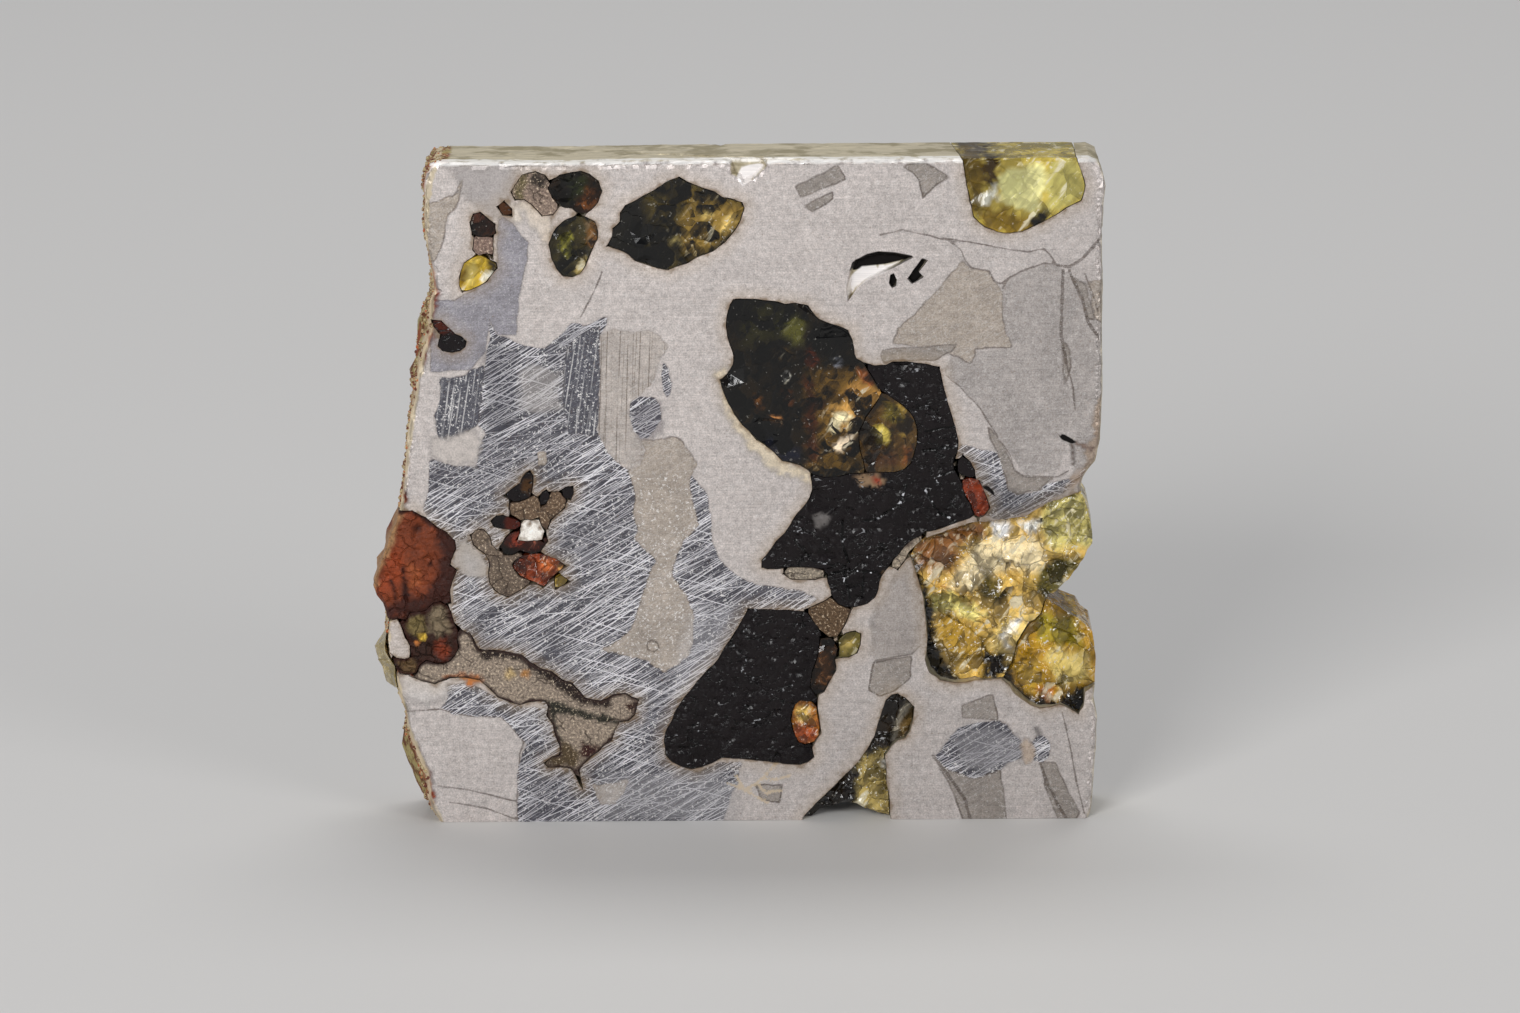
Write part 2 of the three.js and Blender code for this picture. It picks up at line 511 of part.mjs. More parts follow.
// A grain listed after another is cut by it, as the earlier one kept its own shape when they grew together.
const GRAINS = [
  OLIVINE_TOP_RIGHT, OLIVINE_TOP_MIDDLE, OLIVINE_TOP_LEFT_UPPER, TROILITE_TOP_LEFT, OLIVINE_TOP_LEFT_LOWER,
  OLIVINE_HEART, TROILITE_LINK, OLIVINE_YELLOW, CHROMITE_BAR, CHROMITE_SPOT,
  OLIVINE_CENTRE, OLIVINE_CENTRE_RIGHT, CHROMITE_UPPER, TROILITE_SPECK, OLIVINE_AMBER, TROILITE_MIDDLE,
  OLIVINE_GREEN, OLIVINE_BROWN, CHROMITE_LOWER,
  OLIVINE_RIGHT_UPPER, OLIVINE_RIGHT_LOWER, TROILITE_SLIVER, OLIVINE_RED, CHROMITE_GRAIN, OLIVINE_FOOT,
  RUST_INCLUSION, METAL_ISLAND, OLIVINE_CRUST, WEATHERED_CORE, TROILITE_VEIN,
  CHROMITE_LEFT_A, CHROMITE_LEFT_B, CHROMITE_LEFT_C, CHROMITE_LEFT_D, METAL_BEAD, OLIVINE_DARK_RED,
  OLIVINE_ORANGE, OLIVINE_TINY, TROILITE_LEFT_UPPER, TROILITE_LEFT_LOWER,
];

// Pits in the metal: the chip in the top front edge, the crescent where a grain fell out, and small ones.
const PITS = [
  {
    depth: 0.8,
    outline: [[728, 150], [766, 150], [767, 166], [752, 180], [743, 185], [740, 178], [732, 175]],
  },
  {
    depth: 0.6,
    outline: [
      [846, 290], [849, 272], [855, 260], [868, 255], [878, 252], [895, 253], [914, 257], [900, 265],
      [880, 274], [865, 282], [856, 290], [848, 302],
    ],
  },
  { depth: 0.4, outline: [[889, 284], [890, 275], [894, 273], [897, 280], [896, 286], [892, 288]] },
  { depth: 0.4, outline: [[907, 279], [922, 258], [928, 260], [919, 272], [924, 277], [912, 284]] },
];

// A grain's outline on the face, widened or narrowed by half the seam between it and what surrounds it.
function faceOutline(grain, widening) {
  const points = grain.outline.map(onFace);
  const clockwise = THREE.ShapeUtils.isClockWise(points) ? points : points.reverse();
  return grown(clockwise, widening);
}

// The column that a grain, or its pocket, takes out of the slice. A blind one ends inside, a little smaller.
function column(grain, widening) {
  const front = faceOutline(grain, widening);
  if (grain.depth) {
    const end = FRONT + grain.depth + widening;
    const inner = tapered(front, BLIND_END_SCALE, [0, 0]);
    return loft([section(front, FRONT - 1), section(front, FRONT), section(inner, end)]);
  }
  const back = tapered(front, grain.backScale ?? 1, grain.backShift ?? [0, 0]);
  return loft([
    section(front, FRONT - 1),
    section(front, FRONT),
    section(back, BACK),
    section(back, BACK + 1),
  ]);
}

// Chips knocked out of a grain's faces by sawing and polishing: shallow pits with flat sides. Those with a
// known place are given as [right, down, size, depth], and the others lie at random on both faces.
function chipped(shape, grain, seed) {
  const random = randomFrom(seed);
  const box = new THREE.Box2().setFromPoints(faceOutline(grain, 0));
  const span = box.getSize(new THREE.Vector2());
  const radius = Math.min(LARGEST_CHIP, 0.5 * Math.min(span.x, span.y));
  const chips = (grain.chipsAt ?? []).map(([right, down, size, depth]) => {
    return { place: onFace([right, down]), size, depth, onBack: false };
  });
  for (let n = 0; n < (grain.chips ?? 0); n += 1) {
    const place = new THREE.Vector2(box.min.x + random() * span.x, box.min.y + random() * span.y);
    const size = radius * (0.5 + 0.5 * random());
    const depth = grain.chipDepth * (0.4 + 0.6 * random());
    chips.push({ place, size, depth, onBack: !grain.depth && n % 3 === 2 });
  }
  return chips.reduce((left, { place, size, depth, onBack }) => {
    const chip = new THREE.IcosahedronGeometry(size, 0);
    chip.rotateX(2 * Math.PI * random());
    chip.rotateZ(2 * Math.PI * random());
    chip.scale(1, CHIP_FLATNESS, 1);
    chip.computeBoundingBox();
    const { min, max } = chip.boundingBox;
    const y = onBack ? BACK - depth - min.y : FRONT + depth - max.y;
    return left.subtract(solid(chip.translate(place.x, y, place.y)));
  }, shape);
}

function meshOf(shape, name, mineral) {
  const { vertProperties, triVerts } = shape.getMesh();
  const geometry = new THREE.BufferGeometry();
  geometry.setAttribute("position", new THREE.BufferAttribute(vertProperties, 3));
  geometry.setIndex(new THREE.BufferAttribute(triVerts, 1));
  const mesh = new THREE.Mesh(geometry, new THREE.MeshStandardMaterial({ ...mineral, flatShading: true }));
  mesh.name = name;
  return mesh;
}

// The slice is cut into its grains, and the metal is what is left between their pockets.
const slice = new THREE.Group();
slice.name = "pallasite_slice";
const whole = wholeSlice();
let metal = whole;
GRAINS.forEach((grain, index) => {
  let shape = whole.intersect(column(grain, -SEAM / 2));
  for (const earlier of grain.after ?? []) shape = shape.subtract(column(earlier, SEAM / 2));
  shape = largestBody(chipped(largestBody(shape), grain, 100 + index));
  slice.add(meshOf(shape, grain.name, grain.mineral));
  metal = metal.subtract(column(grain, SEAM / 2));
});
for (const pit of PITS) metal = metal.subtract(column(pit, 0));
slice.add(meshOf(largestBody(metal), "metal_slab", METAL));

export default slice;
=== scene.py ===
"""A polished slice of a pallasite meteorite, standing on its sawn bottom edge."""

import math

import bmesh
import bpy
import numpy as np
from mathutils import Matrix, Vector, kdtree, noise
from mathutils.bvhtree import BVHTree
from mathutils.geometry import delaunay_2d_cdt


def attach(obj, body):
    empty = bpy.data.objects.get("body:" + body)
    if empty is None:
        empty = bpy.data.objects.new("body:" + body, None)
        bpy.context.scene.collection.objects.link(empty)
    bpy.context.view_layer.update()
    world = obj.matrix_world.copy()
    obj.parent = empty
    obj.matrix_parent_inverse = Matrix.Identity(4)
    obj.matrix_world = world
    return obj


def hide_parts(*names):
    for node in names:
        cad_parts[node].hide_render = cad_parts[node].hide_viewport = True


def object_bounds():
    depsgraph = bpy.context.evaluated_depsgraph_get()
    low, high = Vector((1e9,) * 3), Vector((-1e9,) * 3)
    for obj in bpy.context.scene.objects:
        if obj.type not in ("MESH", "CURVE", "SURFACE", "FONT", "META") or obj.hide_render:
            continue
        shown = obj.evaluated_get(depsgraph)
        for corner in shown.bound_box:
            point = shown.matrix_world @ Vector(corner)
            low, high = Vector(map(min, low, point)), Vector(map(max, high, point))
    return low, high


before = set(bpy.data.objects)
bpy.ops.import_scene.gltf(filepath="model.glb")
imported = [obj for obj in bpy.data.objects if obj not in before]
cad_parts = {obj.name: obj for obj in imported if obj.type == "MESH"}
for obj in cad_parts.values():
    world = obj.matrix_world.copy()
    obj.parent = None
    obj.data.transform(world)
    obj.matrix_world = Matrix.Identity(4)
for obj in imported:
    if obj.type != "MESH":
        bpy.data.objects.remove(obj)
cad_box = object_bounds()

# The metal: one piece of iron-nickel that grew round all the crystals. It was sawn, ground with coarse
# paper, polished and lightly etched, so its light kamacite, beige taenite and blue-grey plessite show as
# fields with thin dark borders. The left edge is the meteorite's natural skin.
MM = 0.001
FRONT_Y = cad_box[0][1]
BACK_Y = cad_box[1][1]
METAL_FACE_STEP = 0.22 * MM
METAL_BACK_STEP = 0.45 * MM
WALL_STEP = 0.6 * MM
CAD_SEAM = 0.25 * MM
SEAM_REACH = 1.2 * MM
DARK_LINE = 0.05 * MM
RAGGED_EDGE = 0.045 * MM
FAR = 99.0
EDGE_SEED = 5
EDGE_ANGLE = math.radians(50)
EDGE_WEAR = 0.1 * MM
FACE_MIDDLE = [(452, 182), (1082, 800)]
TOUCHING = 1e-7
SAME_POINT = 1e-6
OUTLINE_REACH = 1.5
SAWN_FOOT = 0.2 * MM
SHARP_BORDER = 0.6 * MM
ROW_PITCH = 0.866
LINE_PITCH = 0.6
CLEARANCE = 0.5
LONGEST_SIDE = 1.3
MOST_HALVINGS = 7

PIXELS_PER_MM = 15
PICTURE_CENTRE = (760, 506.5)
PICTURE_CENTRE_HEIGHT = 21.9
CAMERA_DISTANCE = 390
CAMERA_TILT = math.radians(14.5)
CAMERA_ROLL = math.radians(0.35)
PICTURE_OFFSET = 1.58


def on_face(points):
    """Picture points on the polished face as x and z in millimetres."""
    right, down = (np.array(points, dtype=float) - PICTURE_CENTRE).T
    across = right * math.cos(CAMERA_ROLL) - down * math.sin(CAMERA_ROLL)
    fall = right * math.sin(CAMERA_ROLL) + down * math.cos(CAMERA_ROLL)
    across, fall = across / (PIXELS_PER_MM * CAMERA_DISTANCE), fall / (PIXELS_PER_MM * CAMERA_DISTANCE)
    rise = -fall * CAMERA_DISTANCE / (math.cos(CAMERA_TILT) - fall * math.sin(CAMERA_TILT))
    depth = CAMERA_DISTANCE - rise * math.sin(CAMERA_TILT)
    return np.stack([across * depth + PICTURE_OFFSET, rise + PICTURE_CENTRE_HEIGHT], axis=1)


def other_surfaces(name):
    """A search tree over every CAD grain but the named one."""
    corners = []
    faces = []
    for other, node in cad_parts.items():
        if other == name:
            continue
        first = len(corners)
        corners += [vertex.co.copy() for vertex in node.data.vertices]
        faces += [[first + i for i in face.vertices] for face in node.data.polygons]
    return BVHTree.FromPolygons(corners, faces)


def flat_tree(places):
    """A search tree over places on a plane."""
    tree = kdtree.KDTree(len(places))
    for i, (across, up) in enumerate(places):
        tree.insert((across, up, 0), i)
    tree.balance()
    return tree


def sides(triangle):
    """The three sides of a triangle, each as a pair of corners."""
    return zip(triangle, triangle[1:] + triangle[:1])


def open_rim(points, triangles, y):
    """The sides at y that only one triangle has, turned round."""
    used = dict.fromkeys(side for triangle in triangles for side in sides(triangle))
    outer = [(b, a) for a, b in used if (b, a) not in used]
    return [side for side in outer if all(abs(points[i].y - y) < TOUCHING for i in side)]


def spread(rim, spacing, lines):
    """New places on a face: some along the lines, and the rest between them in even rows."""
    at_rim = flat_tree(rim)
    drawn = []
    for line in lines:
        bends = [Vector(bend) for bend in on_face(line)]
        for a, b in zip(bends[:-1], bends[1:]):
            count = max(1, round((b - a).length / (LINE_PITCH * spacing)))
            drawn += [a.lerp(b, i / count) for i in range(count)]
    drawn = [place for place in drawn if at_rim.find((*place, 0))[2] > CLEARANCE * spacing]
    taken = flat_tree(rim + drawn)
    low = [min(place[k] for place in rim) for k in (0, 1)]
    high = [max(place[k] for place in rim) for k in (0, 1)]
    between_lines = []
    for row in range(int((high[1] - low[1]) / (spacing * ROW_PITCH))):
        for column in range(int((high[0] - low[0]) / spacing)):
            x = low[0] + spacing * (column + 0.5 * (row % 2))
            z = low[1] + spacing * ROW_PITCH * (row + 0.5)
            if taken.find((x, z, 0))[2] > CLEARANCE * spacing:
                between_lines.append(Vector((x, z)))
    return drawn + between_lines


def within(rim, triangles):
    """The triangles that lie inside the rim."""
    owner = {side: t for t, triangle in enumerate(triangles) for side in sides(triangle)}
    ahead = [owner[side] for side in rim if side in owner]
    inside = set(ahead)
    rim = set(rim)
    while ahead:
        for a, b in sides(triangles[ahead.pop()]):
            beyond = owner.get((b, a))
            if (a, b) not in rim and beyond is not None and beyond not in inside:
                inside.add(beyond)
                ahead.append(beyond)
    return [triangles[t] for t in sorted(inside)]


def fill_face(points, triangles, y, step, lines=()):
    """Closes the open rim at y with small, even triangles, with corners along the lines."""
    rim = open_rim(points, triangles, y)
    if not rim:
        return
    corners = list(dict.fromkeys(i for side in rim for i in side))
    index = {corner: i for i, corner in enumerate(corners)}
    flat = [Vector((points[i].x, points[i].z)) / MM for i in corners]
    flat += spread(flat, step / MM, lines)
    edges = [(index[a], index[b]) for a, b in rim]
    found, _, filling, sources, _, _ = delaunay_2d_cdt(flat, edges, [], 0, SAME_POINT)
    known = {}
    for i, source in enumerate(sources):
        old = [s for s in source if s < len(corners)]
        known[i] = corners[old[0]] if old else len(points) + i
    whole = [tuple(known[i] for i in triangle) for triangle in filling]
    if y > 0:
        whole = [triangle[::-1] for triangle in whole]
    triangles += within(rim, whole)
    points += [Vector((p.x * MM, y, p.y * MM)) for p in found]


def renumbered(faces):
    """The corners that the faces use, and the faces again with their corners numbered in that order."""
    used = {corner: i for i, corner in enumerate(dict.fromkeys(c for face in faces for c in face))}
    return list(used), [tuple(used[c] for c in face) for face in faces]


def too_long(a, b, face_step, back_step):
    """Whether a side between two points has to be halved."""
    across = math.hypot(a.x - b.x, a.z - b.z)
    middle = 0.5 * (a.y + b.y)
    if abs(middle - FRONT_Y) < TOUCHING:
        return across > LONGEST_SIDE * face_step
    if abs(middle - BACK_Y) < TOUCHING:
        return across > LONGEST_SIDE * back_step
    return math.hypot(across / WALL_STEP, abs(a.y - b.y) / (2 * WALL_STEP)) > 1


def halve(triangle, middles):
    """The triangle cut at the middles of its long sides, after a turn that puts those sides first."""
    at_sides = [middles[min(side), max(side)] for side in sides(triangle)]
    marked = [i for i in range(3) if at_sides[i]]
    if len(marked) == 0:
        return [triangle]
    turn = {1: marked[0], 2: (4 - sum(marked)) % 3, 3: 0}[len(marked)]
    a, b, c = triangle[turn:] + triangle[:turn]
    ab, bc, ca = at_sides[turn:] + at_sides[:turn]
    if len(marked) == 1:
        return [(a, ab, c), (ab, b, c)]
    if len(marked) == 2:
        return [(ab, b, bc), (a, ab, bc), (a, bc, c)]
    return [(a, ab, ca), (ab, b, bc), (ca, bc, c), (ab, bc, ca)]


def fine_copy(name, face_step, back_step, lines=()):
    """The CAD grain's corners and triangles again, all small: even on its flat faces, longer on its walls."""
    bm = bmesh.new()
    bm.from_mesh(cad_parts[name].data)
    bmesh.ops.remove_doubles(bm, verts=bm.verts, dist=SAME_POINT)
    points = [v.co.copy() for v in bm.verts]
    triangles = []
    for face in bm.faces:
        if not any(all(abs(v.co.y - y) < TOUCHING for v in face.verts) for y in (FRONT_Y, BACK_Y)):
            triangles.append(tuple(v.index for v in face.verts))
    bm.free()
    for _ in range(MOST_HALVINGS):
        middles = {}
        for triangle in triangles:
            for a, b in sides(triangle):
                key = (min(a, b), max(a, b))
                if key not in middles:
                    long = too_long(points[a], points[b], face_step, back_step)
                    middles[key] = len(points) if long else None
                    if long:
                        points.append(0.5 * (points[a] + points[b]))
        if not any(middles.values()):
            break
        triangles = [part for triangle in triangles for part in halve(triangle, middles)]
    fill_face(points, triangles, FRONT_Y, face_step, lines)
    fill_face(points, triangles, BACK_Y, back_step)
    chosen, faces = renumbered(triangles)
    return [points[corner] for corner in chosen], faces


def hold_in_box(corner):
    """Keeps a corner inside the box of the CAD model."""
    for axis in range(3):
        corner[axis] = min(max(corner[axis], cad_box[0][axis]), cad_box[1][axis])


noise.seed_set(EDGE_SEED)


def close_seam(points, name):
    """Grows the piece into the CAD seam until only the dark line is left, and makes the border ragged."""
    others = other_surfaces(name)
    full = 0.5 * (CAD_SEAM - DARK_LINE)
    for point in points:
        place = point.copy()
        nearest, _, _, distance = others.find_nearest(place, SEAM_REACH)
        if nearest is not None and distance > TOUCHING:
            fade = max(0.0, 1 - (distance - CAD_SEAM) / (SEAM_REACH - CAD_SEAM))
            shift = max(0.0, min(0.5 * (distance - DARK_LINE), full * fade))
            point += (nearest - place) * (shift / distance)
        ripple = noise.noise_vector(place * 1.6 / MM) + 0.5 * noise.noise_vector(place * 5 / MM)
        ripple.y = 0
        point += ripple * RAGGED_EDGE
        hold_in_box(point)
        if place.z < SAME_POINT:
            point.z = 0


def finished(points, triangles, name):
    """The piece as an object."""
    mesh = bpy.data.meshes.new(name)
    mesh.from_pydata(points, [], triangles)
    piece = bpy.data.objects.new(name, mesh)
    bpy.context.collection.objects.link(piece)
    return piece


def off_line(places, a, b):
    """How far each place lies from the straight line between two points."""
    way = b - a
    share = np.clip(((places - a) @ way) / (way @ way), 0, 1)
    return np.hypot(*(places - a - share[:, None] * way).T)


def inside_by(outlines, places):
    """How far each place lies inside the nearest outline, in millimetres, negative outside."""
    best = np.full(len(places), -FAR)
    for outline in outlines:
        corners = on_face(outline)
        low, high = corners.min(0) - OUTLINE_REACH, corners.max(0) + OUTLINE_REACH
        close = np.all((places > low) & (places < high), axis=1)
        if not close.any():
            continue
        here = places[close]
        distance = np.full(len(here), FAR)
        inside = np.zeros(len(here), dtype=bool)
        for a, b in zip(corners, np.roll(corners, -1, axis=0)):
            distance = np.minimum(distance, off_line(here, a, b))
            crosses = (a[1] > here[:, 1]) != (b[1] > here[:, 1])
            rise = (b[1] - a[1]) or 1e-9
            inside ^= crosses & (here[:, 0] < a[0] + (b[0] - a[0]) * (here[:, 1] - a[1]) / rise)
        best[close] = np.maximum(best[close], np.where(inside, distance, -distance))
    return best


def away_from(lines, places):
    """How far each place lies from the nearest of some open lines, in millimetres."""
    best = np.full(len(places), FAR)
    for line in lines:
        corners = on_face(line)
        for a, b in zip(corners[:-1], corners[1:]):
            best = np.minimum(best, off_line(places, a, b))
    return best


def from_neighbours(piece, name):
    """How far each corner of the piece lies from the grains round it, in millimetres."""
    others = other_surfaces(name)
    return [others.find_nearest(v.co)[3] / MM for v in piece.data.vertices]


def keep(piece, name, values):
    """Keeps a value for each corner of the piece, for its material to read."""
    kept = piece.data.attributes.new(name, "FLOAT", "POINT")
    kept.data.foreach_set("value", np.asarray(values, np.float32))


def places_of(piece):
    """The piece's corners in millimetres, one row each."""
    flat = np.empty(3 * len(piece.data.vertices))
    piece.data.vertices.foreach_get("co", flat)
    return flat.reshape(-1, 3) / MM


PLESSITE = [
    [(500, 215), (512, 222), (520, 235), (529, 242), (527, 258), (522, 283), (519, 300), (516, 335),
     (497, 335), (490, 320), (486, 352), (470, 370), (430, 372), (430, 300), (455, 300), (470, 292),
     (490, 278), (497, 268), (497, 230)],
]
SCRATCHED = [
    [(488, 320), (497, 335), (510, 338), (520, 345), (540, 348), (550, 345), (565, 332), (573, 322),
     (585, 326), (598, 320), (608, 315), (606, 325), (600, 335), (600, 380), (597, 430), (605, 447),
     (615, 460), (628, 470), (645, 478), (665, 470), (688, 472), (697, 480), (706, 492), (711, 515),
     (712, 540), (720, 560), (735, 575), (760, 585), (800, 590), (820, 600), (790, 615), (748, 612),
     (722, 652), (685, 697), (664, 735), (672, 765), (700, 770), (722, 762), (742, 762), (738, 780),
     (730, 800), (720, 835), (518, 835), (518, 790), (518, 770), (525, 745), (550, 730), (548, 707),
     (520, 690), (480, 660), (452, 640), (452, 600), (455, 560), (430, 520), (423, 510), (428, 490),
     (430, 458), (452, 466), (477, 465), (478, 450), (485, 435), (478, 425), (478, 400), (480, 385),
     (485, 370), (486, 352), (490, 335)],
    [(960, 443), (980, 450), (998, 452), (1006, 478), (1008, 490), (1018, 495), (1040, 491), (1043, 485),
     (1075, 478), (1095, 460), (1085, 475), (1060, 495), (1040, 505), (1020, 515), (1000, 520), (982, 513),
     (990, 508), (983, 485), (965, 470), (955, 455)],
    [(630, 402), (640, 397), (655, 398), (661, 405), (661, 418), (655, 428), (648, 438), (640, 438),
     (633, 430), (629, 415)],
    [(663, 362), (669, 370), (671, 385), (668, 398), (663, 392), (661, 375)],
    [(446, 684), (449, 698), (441, 707), (450, 713), (469, 716), (501, 717), (509, 724), (524, 742),
     (530, 752), (553, 745), (552, 725), (545, 708), (525, 707), (512, 703), (500, 700), (470, 682)],
    [(940, 750), (950, 738), (958, 728), (975, 723), (1000, 721), (1008, 725), (1013, 735), (1024, 745),
     (1025, 755), (1018, 760), (1008, 762), (995, 775), (965, 780), (950, 773), (940, 763), (935, 757)],
    [(1030, 745), (1037, 735), (1045, 735), (1050, 745), (1050, 755), (1043, 762), (1035, 760)],
]
STRIPED = [
    [(612, 328), (630, 332), (650, 330), (668, 345), (660, 360), (655, 380), (640, 395), (630, 402),
     (629, 415), (633, 430), (640, 440), (645, 450), (640, 465), (628, 470), (615, 460), (605, 447),
     (597, 430), (600, 380), (600, 335)],
]
LAYERED = [
    [(440, 378), (463, 376), (470, 370), (484, 366), (482, 400), (477, 425), (468, 432), (460, 435),
     (450, 441), (440, 440), (436, 430), (435, 415), (440, 400)],
    [(566, 352), (580, 334), (600, 326), (599, 345), (600, 380), (597, 436), (570, 434), (562, 400)],
]
TAENITE = [
    [(640, 440), (655, 440), (672, 436), (680, 440), (690, 452), (697, 462), (690, 480), (692, 500),
     (700, 525), (685, 540), (675, 560), (672, 575), (688, 600), (694, 615), (693, 640), (690, 655),
     (665, 673), (645, 660), (600, 650), (615, 642), (630, 632), (636, 615), (640, 600), (655, 560),
     (650, 555), (635, 540), (637, 525), (632, 515), (636, 500), (633, 485), (628, 470), (640, 465),
     (645, 450)],
    [(963, 261), (971, 268), (989, 271), (994, 281), (1002, 290), (1002, 312), (1005, 331), (1012, 347),
     (975, 350), (972, 365), (957, 356), (945, 352), (893, 343), (898, 330), (910, 318), (935, 293),
     (950, 275)],
    [(593, 785), (618, 782), (630, 778), (625, 790), (615, 803), (600, 805)],
    [(537, 452), (546, 451), (546, 465), (538, 466)],
    [(1088, 281), (1110, 281), (1110, 330), (1095, 318)],
    [(422, 207), (440, 200), (455, 195), (462, 178), (458, 206), (446, 216), (444, 240), (436, 260),
     (428, 264), (424, 250)],
]
GREY = [
    [(796, 186), (838, 165), (846, 179), (800, 198)],
    [(803, 206), (832, 192), (833, 197), (825, 205), (812, 212)],
    [(902, 166), (925, 162), (950, 177), (935, 185), (923, 199), (919, 180), (913, 173)],
    [(882, 350), (900, 348), (930, 346), (958, 344), (953, 350), (935, 360), (890, 361), (885, 364),
     (880, 358)],
    [(988, 425), (1003, 445), (1015, 470), (1025, 477), (1060, 477), (1050, 480), (1042, 487), (1040, 491),
     (1028, 491), (1018, 495), (1008, 490), (1006, 480), (1000, 460), (990, 437)],
    [(1063, 340), (1070, 350), (1071, 362), (1068, 380), (1064, 385), (1062, 345)],
    [(1071, 277), (1085, 283), (1095, 320), (1086, 318), (1082, 300)],
    [(962, 705), (975, 701), (993, 693), (998, 720), (962, 718)],
    [(975, 779), (1000, 770), (1003, 790), (1008, 835), (970, 835), (950, 785), (938, 765)],
    [(1040, 763), (1055, 762), (1070, 795), (1080, 812), (1065, 835), (1052, 805), (1045, 785)],
    [(755, 785), (782, 785), (780, 803), (762, 800)],
    [(874, 662), (911, 656), (911, 677), (896, 690), (880, 697), (868, 690)],
]
SHADED = [
    [(1009, 278), (1022, 271), (1044, 263), (1057, 265), (1063, 270), (1062, 303), (1061, 334), (1066, 363),
     (1072, 410), (1066, 440), (1060, 470), (1025, 476), (1010, 452), (992, 428), (978, 405), (960, 387),
     (943, 372), (953, 352), (975, 352), (1012, 347), (1005, 331), (1001, 312), (1001, 293)],
    [(1064, 272), (1085, 281), (1115, 281), (1115, 470), (1075, 470), (1068, 440), (1074, 410), (1068, 363),
     (1063, 334)],
    [(907, 557), (919, 582), (923, 610), (920, 645), (912, 654), (895, 657), (878, 662), (872, 655),
     (872, 640), (868, 620), (880, 600), (893, 575)],
]
GRAIN_BORDERS = [
    [(880, 235), (902, 230), (927, 235), (949, 241), (960, 249), (965, 260), (971, 268), (989, 271),
     (994, 281), (1000, 284), (1009, 278), (1022, 271), (1044, 263), (1057, 265)],
    [(943, 238), (975, 243), (1006, 249), (1028, 252), (1044, 249), (1050, 255), (1057, 265)],
    [(1009, 278), (1002, 290)],
    [(943, 372), (960, 387), (980, 408), (992, 428), (1010, 455), (1014, 470), (1023, 476), (1058, 477),
     (1070, 470)],
    [(1066, 363), (1073, 385), (1075, 410)],
    [(1085, 274), (1092, 292), (1098, 312)],
    [(907, 557), (919, 582), (923, 610), (920, 645), (912, 654), (895, 657), (874, 661)],
    [(602, 272), (594, 292), (580, 318)],
    [(430, 785), (470, 790), (518, 802)],
    [(450, 802), (486, 808), (518, 820)],
    [(400, 712), (440, 709), (469, 716), (501, 717), (509, 724), (524, 742), (520, 753), (517, 800),
     (518, 835)],
    [(647, 643), (652, 640), (658, 643), (659, 648), (654, 652), (648, 650), (647, 643)],
    [(1062, 712), (1070, 745), (1078, 790), (1085, 815)],
]
OPEN_BORDERS = [
    [(1057, 265), (1069, 267), (1082, 259), (1092, 248), (1103, 236)],
    [(1063, 270), (1062, 303), (1061, 334), (1066, 363)],
    [(1069, 271), (1082, 297), (1088, 322), (1101, 341)],
    [(933, 756), (949, 776), (965, 799), (970, 818)],
    [(1040, 763), (1048, 785), (1058, 805), (1066, 818)],
]
RESIDUE = [
    [(728, 783), (745, 790), (757, 783), (770, 770), (778, 762)],
    [(745, 790), (757, 797), (768, 803)],
    [(757, 783), (765, 793), (782, 790)],
    [(762, 778), (775, 780), (790, 776)],
    [(736, 776), (745, 790)],
]
# Painted shadow: the upper wall of the crescent pit. The other outlines are small black specks.
PIT_SHADOWS_AND_SPECKS = [
    [(849, 272), (852, 262), (866, 254), (878, 251), (895, 252), (915, 256), (903, 262), (885, 266),
     (868, 268), (856, 272)],
    [(889, 284), (890, 275), (894, 273), (897, 280), (896, 286), (892, 288)],
    [(907, 279), (922, 258), (928, 260), (919, 272), (924, 277), (912, 284)],
    [(980, 481), (985, 483), (993, 490), (997, 498), (990, 493), (983, 488)],
    [(1057, 434), (1064, 434), (1071, 438), (1078, 442), (1072, 444), (1062, 440)],
]
# Painted highlights: the lower wall of the crescent pit and a small chip at the top edge.
PIT_HIGHLIGHTS = [
    [(846, 290), (850, 277), (862, 268), (885, 266), (903, 262), (880, 275), (865, 282), (856, 290),
     (847, 303)],
    [(736, 178), (742, 168), (760, 165), (766, 167), (752, 180), (743, 187)],
]
